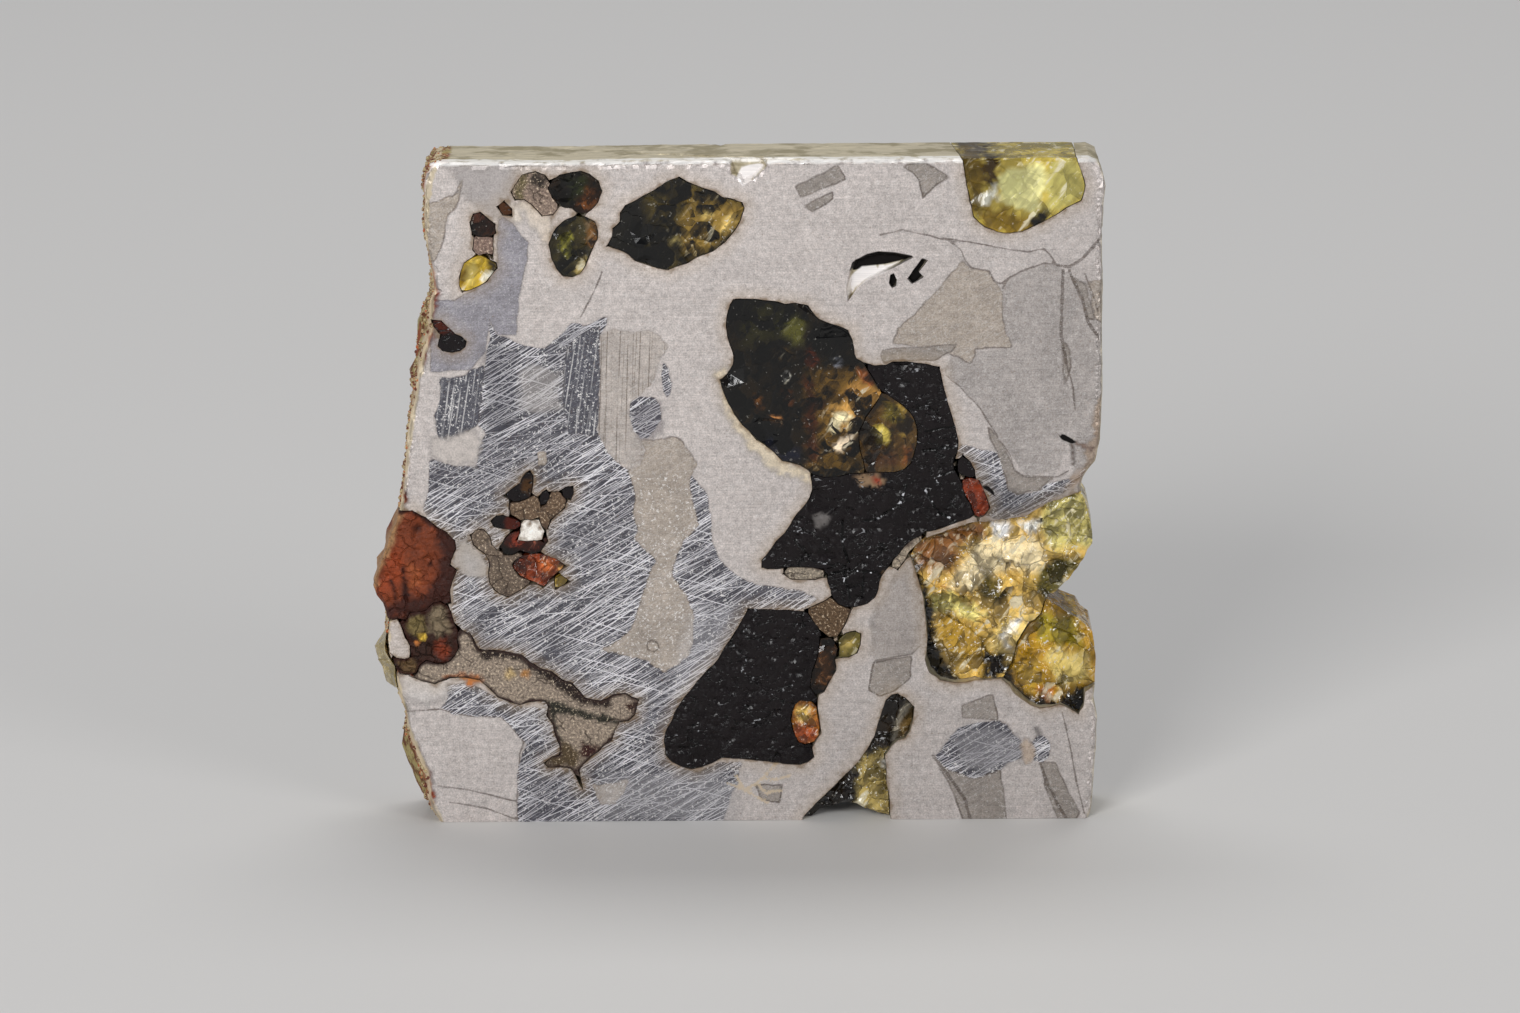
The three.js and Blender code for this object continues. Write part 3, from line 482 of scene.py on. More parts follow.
MARKS = [
    ((118, 50, 30), 0.3, [(426, 272), (437, 284), (439, 300), (434, 320), (433, 336), (425, 366),
        (414, 368), (420, 320), (424, 296)]),
    ((96, 44, 30), 0.3, [(400, 488), (410, 492), (408, 515), (398, 520)]),
    ((158, 144, 96), 0.4, [(396, 690), (406, 700), (406, 730), (416, 758), (423, 790), (432, 812),
        (420, 815), (404, 780), (396, 735)]),
    ((142, 62, 34), 0.3, [(408, 738), (416, 745), (421, 760), (430, 776), (434, 796), (428, 808),
        (421, 798), (418, 780), (412, 764)]),
    ((86, 38, 26), 0.2, [(404, 726), (412, 736), (415, 750), (409, 752)]),
    ((196, 116, 60), 0.25, [(462, 677), (480, 675), (483, 682), (468, 686)]),
    ((226, 218, 208, 0.7), 0.3, [(507, 207), (514, 204), (522, 214), (520, 222), (512, 219)]),
    ((216, 204, 190, 0.7), 0.3, [(519, 204), (536, 198), (548, 212), (556, 228), (550, 246), (540, 236),
        (528, 226)]),
    ((164, 158, 156, 0.8), 0.8, [(445, 166), (520, 162), (512, 196), (505, 215), (490, 215), (470, 200),
        (462, 180)]),
    ((222, 208, 182, 0.75), 0.4, [(714, 370), (724, 368), (738, 400), (760, 436), (784, 458), (812, 470),
        (812, 482), (780, 476), (752, 452), (728, 418)]),
    ((176, 170, 166), 0.15, [(452, 562), (458, 541), (467, 539), (479, 550), (486, 560), (489, 568),
        (485, 577), (470, 577), (460, 572)]),
    # Painted highlight: the metal bead painted near white, where its polish catches the light.
    ((255, 252, 246), 0.15, [(512, 510), (548, 512), (548, 545), (512, 545)]),
    ((192, 184, 178, 0.8), 0.3, [(430, 438), (478, 432), (482, 448), (476, 466), (452, 464), (430, 456)]),
    ((178, 176, 178, 0.3), 1.0, [(600, 772), (720, 768), (738, 798), (736, 822), (570, 822), (576, 800)]),
    ((140, 138, 141, 0.5), 0.5, [(950, 738), (968, 728), (1000, 728), (1024, 742), (1020, 758), (990, 772),
        (966, 768)]),
    ((176, 156, 136, 0.7), 0.15, [(1020, 744), (1028, 738), (1036, 746), (1035, 758), (1027, 764),
        (1022, 754)]),
    ((84, 80, 80, 0.7), 0.1, [(1034, 728), (1037, 725), (1042, 735), (1036, 738)]),
    ((84, 80, 88, 0.45), 0.3, [(632, 412), (645, 403), (660, 404), (664, 420), (654, 440), (638, 438)]),
    ((120, 96, 72, 0.7), 0.05, [(526, 521), (530, 520), (531, 524), (527, 526)]),
    ((110, 84, 60, 0.7), 0.05, [(537, 527), (540, 525), (542, 529), (538, 531)]),
    ((130, 104, 78, 0.7), 0.05, [(522, 536), (527, 534), (528, 538), (523, 540)]),
    ((60, 52, 50, 0.8), 0.05, [(528, 515), (536, 514), (538, 519), (530, 521)]),
    ((168, 162, 158, 0.5), 0.4, [(518, 368), (540, 364), (560, 372), (562, 408), (540, 412), (518, 410)]),
    ((62, 62, 70, 0.45), 0.5, [(484, 352), (500, 344), (516, 350), (516, 412), (500, 430), (484, 420)]),
    ((206, 200, 196, 0.8), 0.5, [(398, 672), (448, 676), (452, 692), (425, 704), (402, 700)]),
    ((64, 64, 68, 0.4), 0.4, [(948, 450), (972, 452), (996, 484), (1040, 500), (1090, 468), (1090, 496),
        (1042, 522), (988, 530), (968, 516)]),
    ((148, 122, 94, 0.55), 0.3, [(1094, 398), (1104, 396), (1104, 442), (1092, 472), (1074, 488),
        (1064, 486), (1082, 464), (1090, 436)]),
    ((74, 52, 40, 0.8), 0.06, [(1070, 443), (1074, 443), (1075, 465), (1072, 466)]),
    ((100, 70, 52, 0.7), 0.06, [(1075, 441), (1093, 447), (1092, 451), (1075, 445)]),
    ((56, 54, 60, 0.12), 1.0, [(520, 712), (560, 740), (598, 760), (596, 815), (530, 815)]),
    ((210, 208, 212, 0.2), 0.8, [(688, 612), (742, 600), (730, 640), (700, 690), (668, 700), (676, 650)]),
    ((150, 140, 132, 0.3), 0.3, [(884, 575), (905, 556), (924, 600), (928, 650), (872, 664), (870, 640)]),
]
FIELDS = {
    "plessite": PLESSITE, "scratched": SCRATCHED, "striped": STRIPED, "layered": LAYERED, "taenite": TAENITE,
    "grey": GREY, "shaded": SHADED, "pit_shadow_and_speck": PIT_SHADOWS_AND_SPECKS, "pit_highlight_zone": PIT_HIGHLIGHTS,
}
NATURAL_EDGE = [
    [(436, 162), (428, 190), (424, 240), (432, 290), (430, 320), (422, 355), (414, 400), (407, 450),
     (402, 500), (385, 550), (374, 590), (388, 622), (386, 650), (398, 690), (408, 730), (425, 770),
     (430, 800), (440, 822)],
]

lines = GRAIN_BORDERS + OPEN_BORDERS + RESIDUE
points, triangles = fine_copy("metal_slab", METAL_FACE_STEP, METAL_BACK_STEP, lines)
close_seam(points, "metal_slab")
metal = finished(points, triangles, "polished_metal")


def wear_edges(piece, name):
    """Draws the piece's sharp outer edges in a little, as handling wears them, away from its neighbours."""
    others = other_surfaces(name)
    low, high = on_face(FACE_MIDDLE) * MM
    bm = bmesh.new()
    bm.from_mesh(piece.data)
    shifts = {}
    for edge in bm.edges:
        if len(edge.link_faces) == 2 and edge.calc_face_angle_signed() > EDGE_ANGLE:
            for corner in edge.verts:
                central = low[0] < corner.co.x < high[0] and high[1] < corner.co.z < low[1]
                lowest = corner.co.z < SAWN_FOOT
                alone = others.find_nearest(corner.co)[3] > SHARP_BORDER
                if alone and not central and not lowest:
                    shifts[corner] = sum((face.normal for face in edge.link_faces), Vector())
    for corner, normal in shifts.items():
        corner.co -= normal.normalized() * EDGE_WEAR
        hold_in_box(corner.co)
    bm.to_mesh(piece.data)
    bm.free()


wear_edges(metal, "metal_slab")


def srgb(red, green, blue, alpha=1):
    """A colour as the eye reads it, 0 to 255, for a shader."""
    return tuple((c / 255) ** 2.2 for c in (red, green, blue)) + (alpha,)


def paint(piece, base, zones=()):
    """Colours the corners: a base colour, then zones of a colour, a softness in millimetres, an outline."""
    places = places_of(piece)
    colours = np.tile(srgb(*base), (len(places), 1))
    wobble = np.array([noise.noise(Vector(p) * 1.5) + 0.7 * noise.noise(Vector(p) * 4) for p in places])
    for colour, softness, outline in zones:
        depth = inside_by([outline], places[:, [0, 2]]) + wobble * min(0.35, 1.2 * softness)
        share = np.clip(depth / softness + 0.5, 0, 1)[:, None]
        colours += share * (np.array(srgb(*colour)) - colours)
    kept = piece.data.attributes.new("body", "FLOAT_COLOR", "POINT")
    kept.data.foreach_set("color", colours.ravel())


def mark_fields(piece, name):
    """Notes on each corner how far inside each field it lies, in millimetres."""
    flat = places_of(piece)[:, [0, 2]]
    for field, outlines in FIELDS.items():
        keep(piece, field, inside_by(outlines, flat))
    keep(piece, "border", np.minimum(away_from(GRAIN_BORDERS, flat), away_from(OPEN_BORDERS, flat) - 0.05))
    keep(piece, "residue", away_from(RESIDUE, flat))
    keep(piece, "natural", away_from(NATURAL_EDGE, flat))
    keep(piece, "grain", from_neighbours(piece, name))
    paint(piece, (0, 0, 0, 0), MARKS)


mark_fields(metal, "metal_slab")


class Varying:
    """A value that varies over a surface: one output of a node. Arithmetic on it adds the nodes for it."""

    def __init__(self, socket):
        self.socket = socket
        self.tree = socket.id_data

    def __getitem__(self, name):
        """Another output of the same node."""
        return Varying(self.socket.node.outputs[name])

    def __add__(self, other):
        return calc("ADD", self, other)

    def __sub__(self, other):
        return calc("SUBTRACT", self, other)

    def __rsub__(self, other):
        return calc("SUBTRACT", other, self)

    def __mul__(self, other):
        return calc("MULTIPLY", self, other)

    def __truediv__(self, other):
        return calc("DIVIDE", self, other)

    def __rtruediv__(self, other):
        return calc("DIVIDE", other, self)

    def __abs__(self):
        return calc("ABSOLUTE", self)

    __rmul__ = __mul__


def fill(made, inputs):
    """Sets each input of a node to its plain value, or links it to its varying one."""
    for key, value in inputs.items():
        if isinstance(value, Varying):
            value.tree.links.new(value.socket, made.inputs[key])
        else:
            made.inputs[key].default_value = value


def add(kind, inputs=None, output=0, tree=None, family="ShaderNode", **settings):
    """One output of a new node, which goes in the tree of its varying inputs if none is given."""
    inputs = inputs or {}
    tree = tree or next(value.tree for value in inputs.values() if isinstance(value, Varying))
    made = tree.nodes.new(family + kind)
    for key, value in settings.items():
        setattr(made, key, value)
    fill(made, inputs)
    return Varying(made.outputs[output])


def calc(operation, *values):
    """A sum on plain or varying values."""
    return add("Math", dict(enumerate(values)), operation=operation)


def highest(*values):
    """The higher of two values."""
    return calc("MAXIMUM", *values)


def between(value, low, high):
    """0 where the value is at low, 1 where it is at high, smooth in between."""
    limits = {"Value": value, "From Min": low, "From Max": high}
    return add("MapRange", limits, interpolation_type="SMOOTHSTEP")


def blend(share, below, above):
    """The colour below where the share is 0, the one above where it is 1."""
    return add("Mix", {0: share, 6: below, 7: above}, output=2, data_type="RGBA")


def tint(colour, value):
    """The colour made darker or lighter by a value round 1."""
    tree = (value if isinstance(value, Varying) else colour).tree
    grey = add("CombineColor", {0: value, 1: value, 2: value}, tree=tree)
    return add("Mix", {0: 1.0, 6: colour, 7: grey}, output=2, data_type="RGBA", blend_type="MULTIPLY")


def cloud(place, scale, detail=3.0, roughness=0.55, stretch=None):
    """Soft noise round 0.5, its scale in lumps for each millimetre."""
    if stretch:
        place = add("VectorMath", {0: place, 1: stretch}, operation="MULTIPLY")
    look = {"Vector": place, "Scale": scale, "Detail": detail, "Roughness": roughness}
    return add("TexNoise", look, output="Fac")


def material(name):
    """An empty material, and the place on the object in millimetres."""
    made = bpy.data.materials.new(name)
    made.use_nodes = True
    made.node_tree.nodes.clear()
    coordinates = add("TexCoord", output="Object", tree=made.node_tree)
    return made, add("VectorMath", {0: coordinates, "Scale": 1 / MM}, operation="SCALE")


def read(made, name, output="Fac"):
    """What is kept at the piece's corners under a name."""
    return add("Attribute", output=output, tree=made.node_tree, attribute_name=name)


def surface(made, colour, roughness, height=None, bump=0.0, bump_depth=0.1, absorbs=None, **sockets):
    """Ends a material in one shader. Height is in millimetres times bump_depth."""
    tree = made.node_tree
    inputs = {"Base Color": colour, "Roughness": roughness}
    inputs.update({key.replace("_", " "): value for key, value in sockets.items()})
    if height is not None:
        inputs["Normal"] = add("Bump", {"Height": height, "Strength": bump, "Distance": bump_depth * MM})
    ends = {"Surface": add("BsdfPrincipled", inputs, tree=tree)}
    if absorbs:
        ends["Volume"] = add("VolumeAbsorption", {"Color": absorbs[0], "Density": absorbs[1]}, tree=tree)
    fill(tree.nodes.new("ShaderNodeOutputMaterial"), ends)


def open_tree(name, kind, inputs, outputs):
    """A new node tree, its inner inputs and its output node."""
    tree = bpy.data.node_groups.new(name, kind)
    for label, socket, value in inputs:
        made = tree.interface.new_socket(label, in_out="INPUT", socket_type="NodeSocket" + socket)
        if value is not None:
            made.default_value = value
    for label, socket in outputs:
        tree.interface.new_socket(label, in_out="OUTPUT", socket_type="NodeSocket" + socket)
    return tree, Varying(tree.nodes.new("NodeGroupInput").outputs[0]), tree.nodes.new("NodeGroupOutput")


def use(shared, inputs, output):
    """One result of a shader group."""
    return add("Group", inputs, output, node_tree=shared)


# Scratches of the grinding paper: straight thin strokes in rows, each with its own place, tilt and
# brightness.
scratches, given, result = open_tree(
    "grinding scratches",
    "ShaderNodeTree",
    [("Place", "Vector", None), ("Angle", "Float", 0.5), ("Length", "Float", 6.0), ("Spacing", "Float", 0.25),
     ("Width", "Float", 0.05)],
    [("Mask", "Float")],
)
turned = {"Vector": given["Place"], "Angle": given["Angle"]}
along = add("VectorRotate", turned, rotation_type="Y_AXIS")
along = add("SeparateXYZ", {0: along})
rows = along["Z"] / given["Spacing"]
row = calc("FLOOR", rows)
row_shift = add("TexWhiteNoise", {"W": row}, noise_dimensions="1D")
strokes = row_shift * 9.0 + along["X"] / given["Length"]
stroke = add("CombineXYZ", {0: row, 1: calc("FLOOR", strokes), 2: given["Angle"]})
chance = add("TexWhiteNoise", {"Vector": stroke}, noise_dimensions="3D")
chances = add("SeparateColor", {0: chance["Color"]})
across = calc("FRACT", rows) - 0.5
lengthways = calc("FRACT", strokes) - 0.5
tilt = chances["Green"] * 0.8 - 0.4
middle = tilt * lengthways + (chances["Red"] * 0.4 - 0.2)
off = abs(across - middle) * given["Spacing"]
thin = between(off / given["Width"], 1.0, 0.35)
ends = between(abs(lengthways), 0.5, 0.25)
bright = between(chances["Blue"], 0.25, 1.0)
fill(result, {"Mask": thin * ends * bright})


def strokes_at(place, angle, length, spacing, width):
    """Scratches that all run one way, their sizes in millimetres."""
    inputs = {"Place": place, "Angle": angle, "Length": length, "Spacing": spacing, "Width": width}
    return use(scratches, inputs, "Mask")


FRONT, BACK, TOP = FRONT_Y / MM, BACK_Y / MM, cad_box[1][2] / MM
metal_finish, place = material("etched iron nickel")
at = add("SeparateXYZ", {0: place})
at_front = between(at["Y"], FRONT + 1.2, FRONT + 1.0)
wobble = cloud(place, 1.3, 4) - 0.5
brushing = cloud(place, 1.0, 2, 0.6, (0.35, 0.5, 16))
patches = cloud(place, 0.35, 3)
speckle = cloud(place, 2.6, 3, 0.6) * 0.6 + cloud(place, 9, 2, 0.7)
scratched = 0.0
SCRATCHES = (
    (0.55, 5, 0.16, 0.034), (0.6, 7, 0.24, 0.042), (0.5, 4, 0.13, 0.03), (0.42, 6, 0.3, 0.042),
    (0.7, 4, 0.35, 0.038), (-0.28, 5, 0.5, 0.04), (0.1, 4, 0.4, 0.036),
)
for angle, length, spacing, width in SCRATCHES:
    scratched = highest(scratched, strokes_at(place, angle, length, spacing, width))
stripes = highest(strokes_at(place, 1.52, 7, 0.27, 0.045), strokes_at(place, 1.54, 9, 0.36, 0.05))
layers = highest(strokes_at(place, 1.42, 5, 0.3, 0.06), strokes_at(place, 1.45, 3, 0.4, 0.07))

# Painted shade: the metal's colour is made darker towards the lower right of the face, for the fall of the
# light.
lean = at["Z"] * -0.6 + at["X"]
fade = between(lean, -25, 15) * -0.14
colour = tint(srgb(194, 186, 182), patches * 0.3 + 0.9 + fade)
rims = 0.0
shown = 0.06
FIELD_LOOKS = (
    ("shaded", 0.4, srgb(170, 163, 159), 0.06, 0.0),
    ("scratched", 0.5, srgb(80, 79, 86), 1.1, 0.3),
    ("plessite", 0.35, srgb(146, 143, 149), 0.12, 0.4),
    ("taenite", 0.5, srgb(172, 161, 150), 0.13, 0.6),
    ("striped", 0.6, srgb(182, 173, 166), 0.1, 0.2),
    ("layered", 0.5, srgb(84, 84, 92), 0.1, 0.3),
    ("grey", 0.3, srgb(149, 141, 134), 0.1, 0.7),
)
fields = {}
for attribute, ragged, tone, scratching, outlined in FIELD_LOOKS:
    depth = wobble * ragged + read(metal_finish, attribute)
    share = between(depth, -0.04, 0.04)
    fields[attribute] = share
    colour = blend(share, colour, tint(tone, patches * 0.7 + 0.65))
    shown = share * (scratching - shown) + shown
    rim = between(abs(depth), 0.1, 0.02) * outlined
    rims = highest(rims * (1.0 - share), rim)
border = wobble * 0.12 + read(metal_finish, "border")
border_depth = between(brushing, 0.35, 0.6) * 0.35 + 0.45
rims = rims * (between(patches, 0.4, 0.6) * 0.6 + 0.5)
rims = highest(rims, between(border, 0.1, 0.02) * border_depth)
colour = blend(stripes * fields["striped"], colour, srgb(130, 119, 111))
colour = blend(layers * fields["layered"], colour, srgb(186, 184, 184))
colour = blend(rims, colour, srgb(84, 72, 64))
grit = speckle * 1.35 - 0.08
colour = tint(colour, grit * (brushing * 0.45 + 0.77))
fresh = between(cloud(place, 0.22, 2), 0.38, 0.6) * 0.45 + 0.55
# Painted highlight: the grinding scratches are painted near white, where their grooves catch the light.
scratched = calc("MINIMUM", scratched * (shown * fresh), 1.0)
colour = blend(scratched, colour, srgb(238, 236, 240))
specks = cloud(place, 6.5, 2, 0.75)
# Painted highlights: tiny near-white dots in the metal, thickest in the scratched and layered fields. The
# brown specks after them are the metal's own.
painted_glitter_share = highest(fields["scratched"], fields["layered"]) * 0.6 + 0.3
colour = blend(painted_glitter_share * between(specks, 0.58, 0.66), colour, srgb(235, 232, 230))
colour = blend(between(specks, 0.36, 0.3) * 0.4, colour, srgb(136, 112, 90))
residue = (specks - 0.5) * 0.5 + read(metal_finish, "residue")
colour = blend(between(residue, 0.14, 0.06) * 0.8, colour, srgb(208, 190, 164))
marks = read(metal_finish, "body", "Color")
colour = blend(marks["Alpha"] * at_front, colour, tint(marks["Color"], speckle + 0.25))

near_grain = wobble * 0.9 + read(metal_finish, "grain")
colour = blend(between(near_grain, 0.4, 0.05) * 0.65, colour, srgb(104, 80, 54))
colour = blend(between(near_grain, 1.3, 0.2) * 0.2, colour, srgb(176, 150, 112))

# The sawn sides are duller, and the skin of the left edge is weathered.
on_back = between(at["Y"], BACK - 0.3, BACK - 0.1)
on_side = between(at["Y"], FRONT + 0.1, FRONT + 0.3) - on_back
saw_marks = cloud(place, 1.0, 3, 0.7, (0.25, 5, 5))
sawn = tint(srgb(196, 186, 162), saw_marks * 1.1 + 0.45)
lumps = between(cloud(place, 0.5, 4, 0.65, (0.6, 1, 1)), 0.46, 0.58)
sawn = blend(lumps * 0.65, sawn, srgb(134, 124, 94))
colour = blend(on_side, colour, sawn)
crust = cloud(place, 1.1, 5, 0.65)
skin = blend(between(crust, 0.42, 0.56), srgb(96, 56, 28), srgb(156, 142, 92))
skin = blend(between(cloud(place, 0.6, 3), 0.47, 0.58), skin, srgb(134, 70, 42))
rust_line = between(at["Y"], FRONT + 1.3, FRONT + 0.5) * between(crust, 0.4, 0.52)
skin = blend(rust_line, skin, srgb(138, 64, 34))
skin_edge = wobble * 0.6 + read(metal_finish, "natural")
bulge = between(at["Z"], 20, 14)
skin_there = between(bulge * -0.6 + skin_edge, 0.9, 0.6) * on_side
colour = blend(skin_there, colour, skin)
cream = between(skin_edge, 0.28, 0.12) * between(patches, 0.3, 0.5)
colour = blend(cream * 0.8, colour, srgb(205, 190, 160))

# Painted shadow in the crescent pit, near black, and the small black specks.
pit = between(read(metal_finish, "pit_shadow_and_speck"), -0.03, 0.05) * at_front
colour = blend(pit, colour, srgb(20, 17, 16))
# Painted highlights: the pit's lower wall and the chip, near white where they catch the light.
painted_pit_highlight = between(read(metal_finish, "pit_highlight_zone"), -0.05, 0.1) * at_front
colour = blend(painted_pit_highlight, colour, tint(srgb(242, 238, 236), brushing * 0.5 + 0.7))
# Painted highlight: a near-white line along the top of the polished face, where the worn edge catches the
# light.
painted_edge_highlight = between(at["Z"], TOP - 0.34, TOP - 0.2) * at_front * between(wobble, -0.22, 0.0)
colour = blend(painted_edge_highlight * 0.8, colour, srgb(246, 243, 238))
roughness = skin_there * 0.25 + (on_side * 0.12 + (grit * 0.14 + 0.36))
height = saw_marks * on_side * 0.8 + (crust * skin_there * 5.0 + brushing * 0.3)
surface(metal_finish, colour, roughness, height, 0.35, 0.05, Metallic=skin_there * -0.7 + 0.75)
metal.data.materials.append(metal_finish)
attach(metal, "root")
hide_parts("metal_slab")

# Chromite: black, glassy iron-chromium oxide, in two large plates and small grains between the metal's
# crystals. It is brittle, so grinding left pits, short cracks and chipped ledges. Their bright specks are
# painted highlights, and the small pits carry painted shade.
CHROMITE_STEP = 0.2 * MM
PIT_DEPTH = 0.14 * MM


def near_front(point, reach):
    """1 at the polished face, 0 from reach on, going in."""
    return min(1.0, max(0.0, 1 - (point.y - FRONT_Y) / reach))


def grain(name, piece_name, slot, finish, step=0.25 * MM, relief=None, lines=()):
    """One crystal in small triangles, its seam closed and its relief cut in, standing for its CAD grain."""
    points, triangles = fine_copy(name, step, 2 * step, lines)
    close_seam(points, name)
    if relief:
        relief(points)
    piece = finished(points, triangles, piece_name)
    piece.data.materials.append(finish)
    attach(piece, "root")
    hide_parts(name)
    return piece


def pitted(points):
    """Lumps, pits and flat little ledges, all cut inwards from the polished face."""
    for point in points:
        place = point / MM
        pit = noise.noise(place * 1.7 + Vector((7, 0, 3)))
        ledge = noise.noise(Vector((place.x * 0.9, place.y, place.z * 2.6)))
        drop = max(0.0, pit - 0.12) * 2.2 + max(0.0, 0.05 - abs(ledge)) * 9
        point.y += min(1.0, drop) * PIT_DEPTH * near_front(point, 1.0 * MM)


def bent(place, scale, detail, shift):
    """The place pushed about by noise, so that straight cells turn crooked."""
    push = add("TexNoise", {"Vector": place, "Scale": scale, "Detail": detail}, output="Color")
    push = add("VectorMath", {0: push, "Scale": shift}, operation="SCALE")
    return add("VectorMath", {0: place, 1: push}, operation="ADD")


def to_edge(place, size):
    """How far the place lies from the edge of its cell, for cells of this size."""
    cells = {"Vector": place, "Scale": 1.0 / size}
    return add("TexVoronoi", cells, feature="DISTANCE_TO_EDGE")


cracks, given, result = open_tree(
    "cracked mineral",
    "ShaderNodeTree",
    [("Place", "Vector", None), ("Size", "Float", 1.0), ("Width", "Float", 0.03)],
    [("Crack", "Float")],
)
edge = to_edge(bent(given["Place"], 0.9, 3.0, 1.1), given["Size"]) * given["Size"]
fill(result, {"Crack": 1.0 - between(edge, 0.0, given["Width"])})

CHROMITE_CRACKS = [
    [(923, 451), (940, 448), (957, 447)],
    [(925, 432), (942, 428), (958, 427)],
    [(938, 476), (956, 470)],
    [(906, 485), (900, 504), (877, 519), (862, 521)],
    [(843, 521), (842, 542), (849, 564)],
    [(830, 574), (851, 570), (877, 572), (881, 583)],
    [(845, 575), (850, 600)],
    [(864, 571), (862, 597)],
    [(925, 490), (938, 512), (955, 520)],
    [(795, 540), (812, 560), (838, 566)],
]
# The fourth value of each colour is how thickly the painted highlights lie there.
CHROMITE_ZONES = [
    ((24, 20, 21, 1), 1.5, [(835, 560), (880, 560), (885, 590), (868, 610), (840, 605), (830, 585)]),
    ((24, 20, 21, 0.8), 1.5, [(880, 480), (960, 470), (965, 540), (900, 545)]),
    ((24, 20, 21, 1), 1.2, [(800, 640), (822, 640), (826, 760), (790, 768)]),
    ((24, 20, 21, 1), 1.2, [(675, 735), (715, 735), (720, 772), (680, 772)]),
    ((132, 108, 84, 0.3), 0.25, [(855, 478), (865, 474), (880, 475), (884, 482), (874, 487), (860, 485)]),
    ((128, 44, 28, 0.3), 0.2, [(872, 476), (880, 477), (879, 484), (872, 483)]),
    ((92, 74, 56, 0.3), 0.25, [(884, 574), (892, 573), (893, 582), (886, 583)]),
    ((92, 88, 86, 0.3), 0.2, [(813, 516), (820, 513), (828, 517), (826, 525), (816, 526)]),
]
SMALL_CHROMITE_ZONES = [
    ((66, 46, 28, 0.5), 0.2, [(524, 480), (532, 476), (534, 488), (529, 497), (523, 492)]),
    ((70, 30, 22, 0.3), 0.2, [(505, 514), (522, 518), (522, 530), (505, 532)]),
    ((72, 46, 28, 0.8), 0.3, [(497, 200), (513, 208), (513, 217), (500, 216)]),
    ((66, 30, 20, 0.3), 0.3, [(428, 318), (444, 322), (452, 332), (438, 336)]),
]
chromite, place = material("black chromite")
flat_place = add("VectorMath", {0: place, 1: (0.7, 1, 1.8)}, operation="MULTIPLY")
short_crack = use(cracks, {"Place": flat_place, "Size": 0.9, "Width": 0.06}, "Crack")
short_crack = short_crack * between(cloud(place, 0.9, 2), 0.5, 0.6)
drawn = (cloud(place, 2, 3) - 0.5) * 0.2 + read(chromite, "cracked")
cut = highest(short_crack, between(drawn, 0.12, 0.03))
zone = read(chromite, "body", "Color")
lumps = cloud(place, 1.1, 3, 0.5)
# Painted shade: the small pits are darkened in the colour as well as sunk by the bump.
pits = between(cloud(place, 3.2, 2), 0.6, 0.7)
colour = tint(zone["Color"], lumps * 0.8 + 0.6)
colour = blend(pits * 0.7, colour, srgb(10, 8, 8))
colour = blend(cut, colour, srgb(6, 5, 5))
# Painted highlights: white specks and bright crack edges, where chipped ledges would catch the light.
painted_chromite_glints = between(cloud(place, 3.6, 3, 0.75, (0.8, 1, 1.3)), 0.71, 0.75)
painted_chromite_glints = painted_chromite_glints * (zone["Alpha"] * between(lumps, 0.46, 0.56))
painted_crack_glints = between(cut, 0.05, 0.5) * between(cloud(place, 2.2, 2), 0.62, 0.68)
colour = blend(highest(painted_chromite_glints, painted_crack_glints * (zone["Alpha"] * 0.5 + 0.25)), colour, srgb(226, 227, 232))
height = pits * -0.5 + (cut * -0.9 + lumps * 1.2)
surface(
    chromite, colour, cloud(place, 3, 3) * 0.35 + 0.08, height, 0.4, 0.16, Specular_IOR_Level=0.2,
)
for name in ("upper", "lower", "bar", "spot", "grain", "left_a", "left_b", "left_c", "left_d"):
    large = name in ("upper", "lower")
    relief = pitted if large else None
    lines = CHROMITE_CRACKS if large else ()
    made_as = "black_chromite_" + name
    piece = grain("chromite_" + name, made_as, "chromite", chromite, CHROMITE_STEP, relief, lines)
    paint(piece, (27, 23, 24, 0.15), CHROMITE_ZONES if large else SMALL_CHROMITE_ZONES)
    keep(piece, "cracked", away_from(CHROMITE_CRACKS, places_of(piece)[:, [0, 2]]))

# The polished olivine crystals: gem olivine that the saw cut through and the polish left flat and glossy.
# Each is see-through and cracked inside, dark over deep pockets and amber in places, with painted gold
# highlights where a crack would send the light back.
GEM_INDEX = 1.67

# Painted facet light: each facet gets a brightness for its tilt, as painted shade or light, and the brightest
# facets a painted highlight. The same facets shape the bump.
fractured, given, result = open_tree(
    "fractured crystal",
    "ShaderNodeTree",
    [("Place", "Vector", None), ("Size", "Float", 1.0)],
    [("Shade", "Float"), ("Glint", "Float"), ("Crack", "Float")],
)
crooked = bent(given["Place"], 0.7, 2.0, 1.2)
shade = 0.0
painted_glint_mask = 0.0
for share, relative in ((0.62, 1.0), (0.38, 0.36)):
    size = given["Size"] * relative
    cell = add("TexVoronoi", {"Vector": crooked, "Scale": 1.0 / size})
    off = add("VectorMath", {0: crooked, 1: cell["Position"]}, operation="SUBTRACT")
    tilt = add("VectorMath", {0: cell["Color"], 1: (0.5, 0.5, 0.5)}, operation="SUBTRACT")
    ramp = add("VectorMath", {0: off, 1: tilt}, output="Value", operation="DOT_PRODUCT")
    facet = ramp / size * 1.6 + add("SeparateColor", {0: cell["Color"]})
    shade = facet * share + shade
    painted_glint_mask = highest(painted_glint_mask, between(facet, 0.9, 1.15))
crack = between(to_edge(crooked, given["Size"]), 0.05, 0.0)
fill(result, {"Shade": shade, "Glint": painted_glint_mask, "Crack": crack})


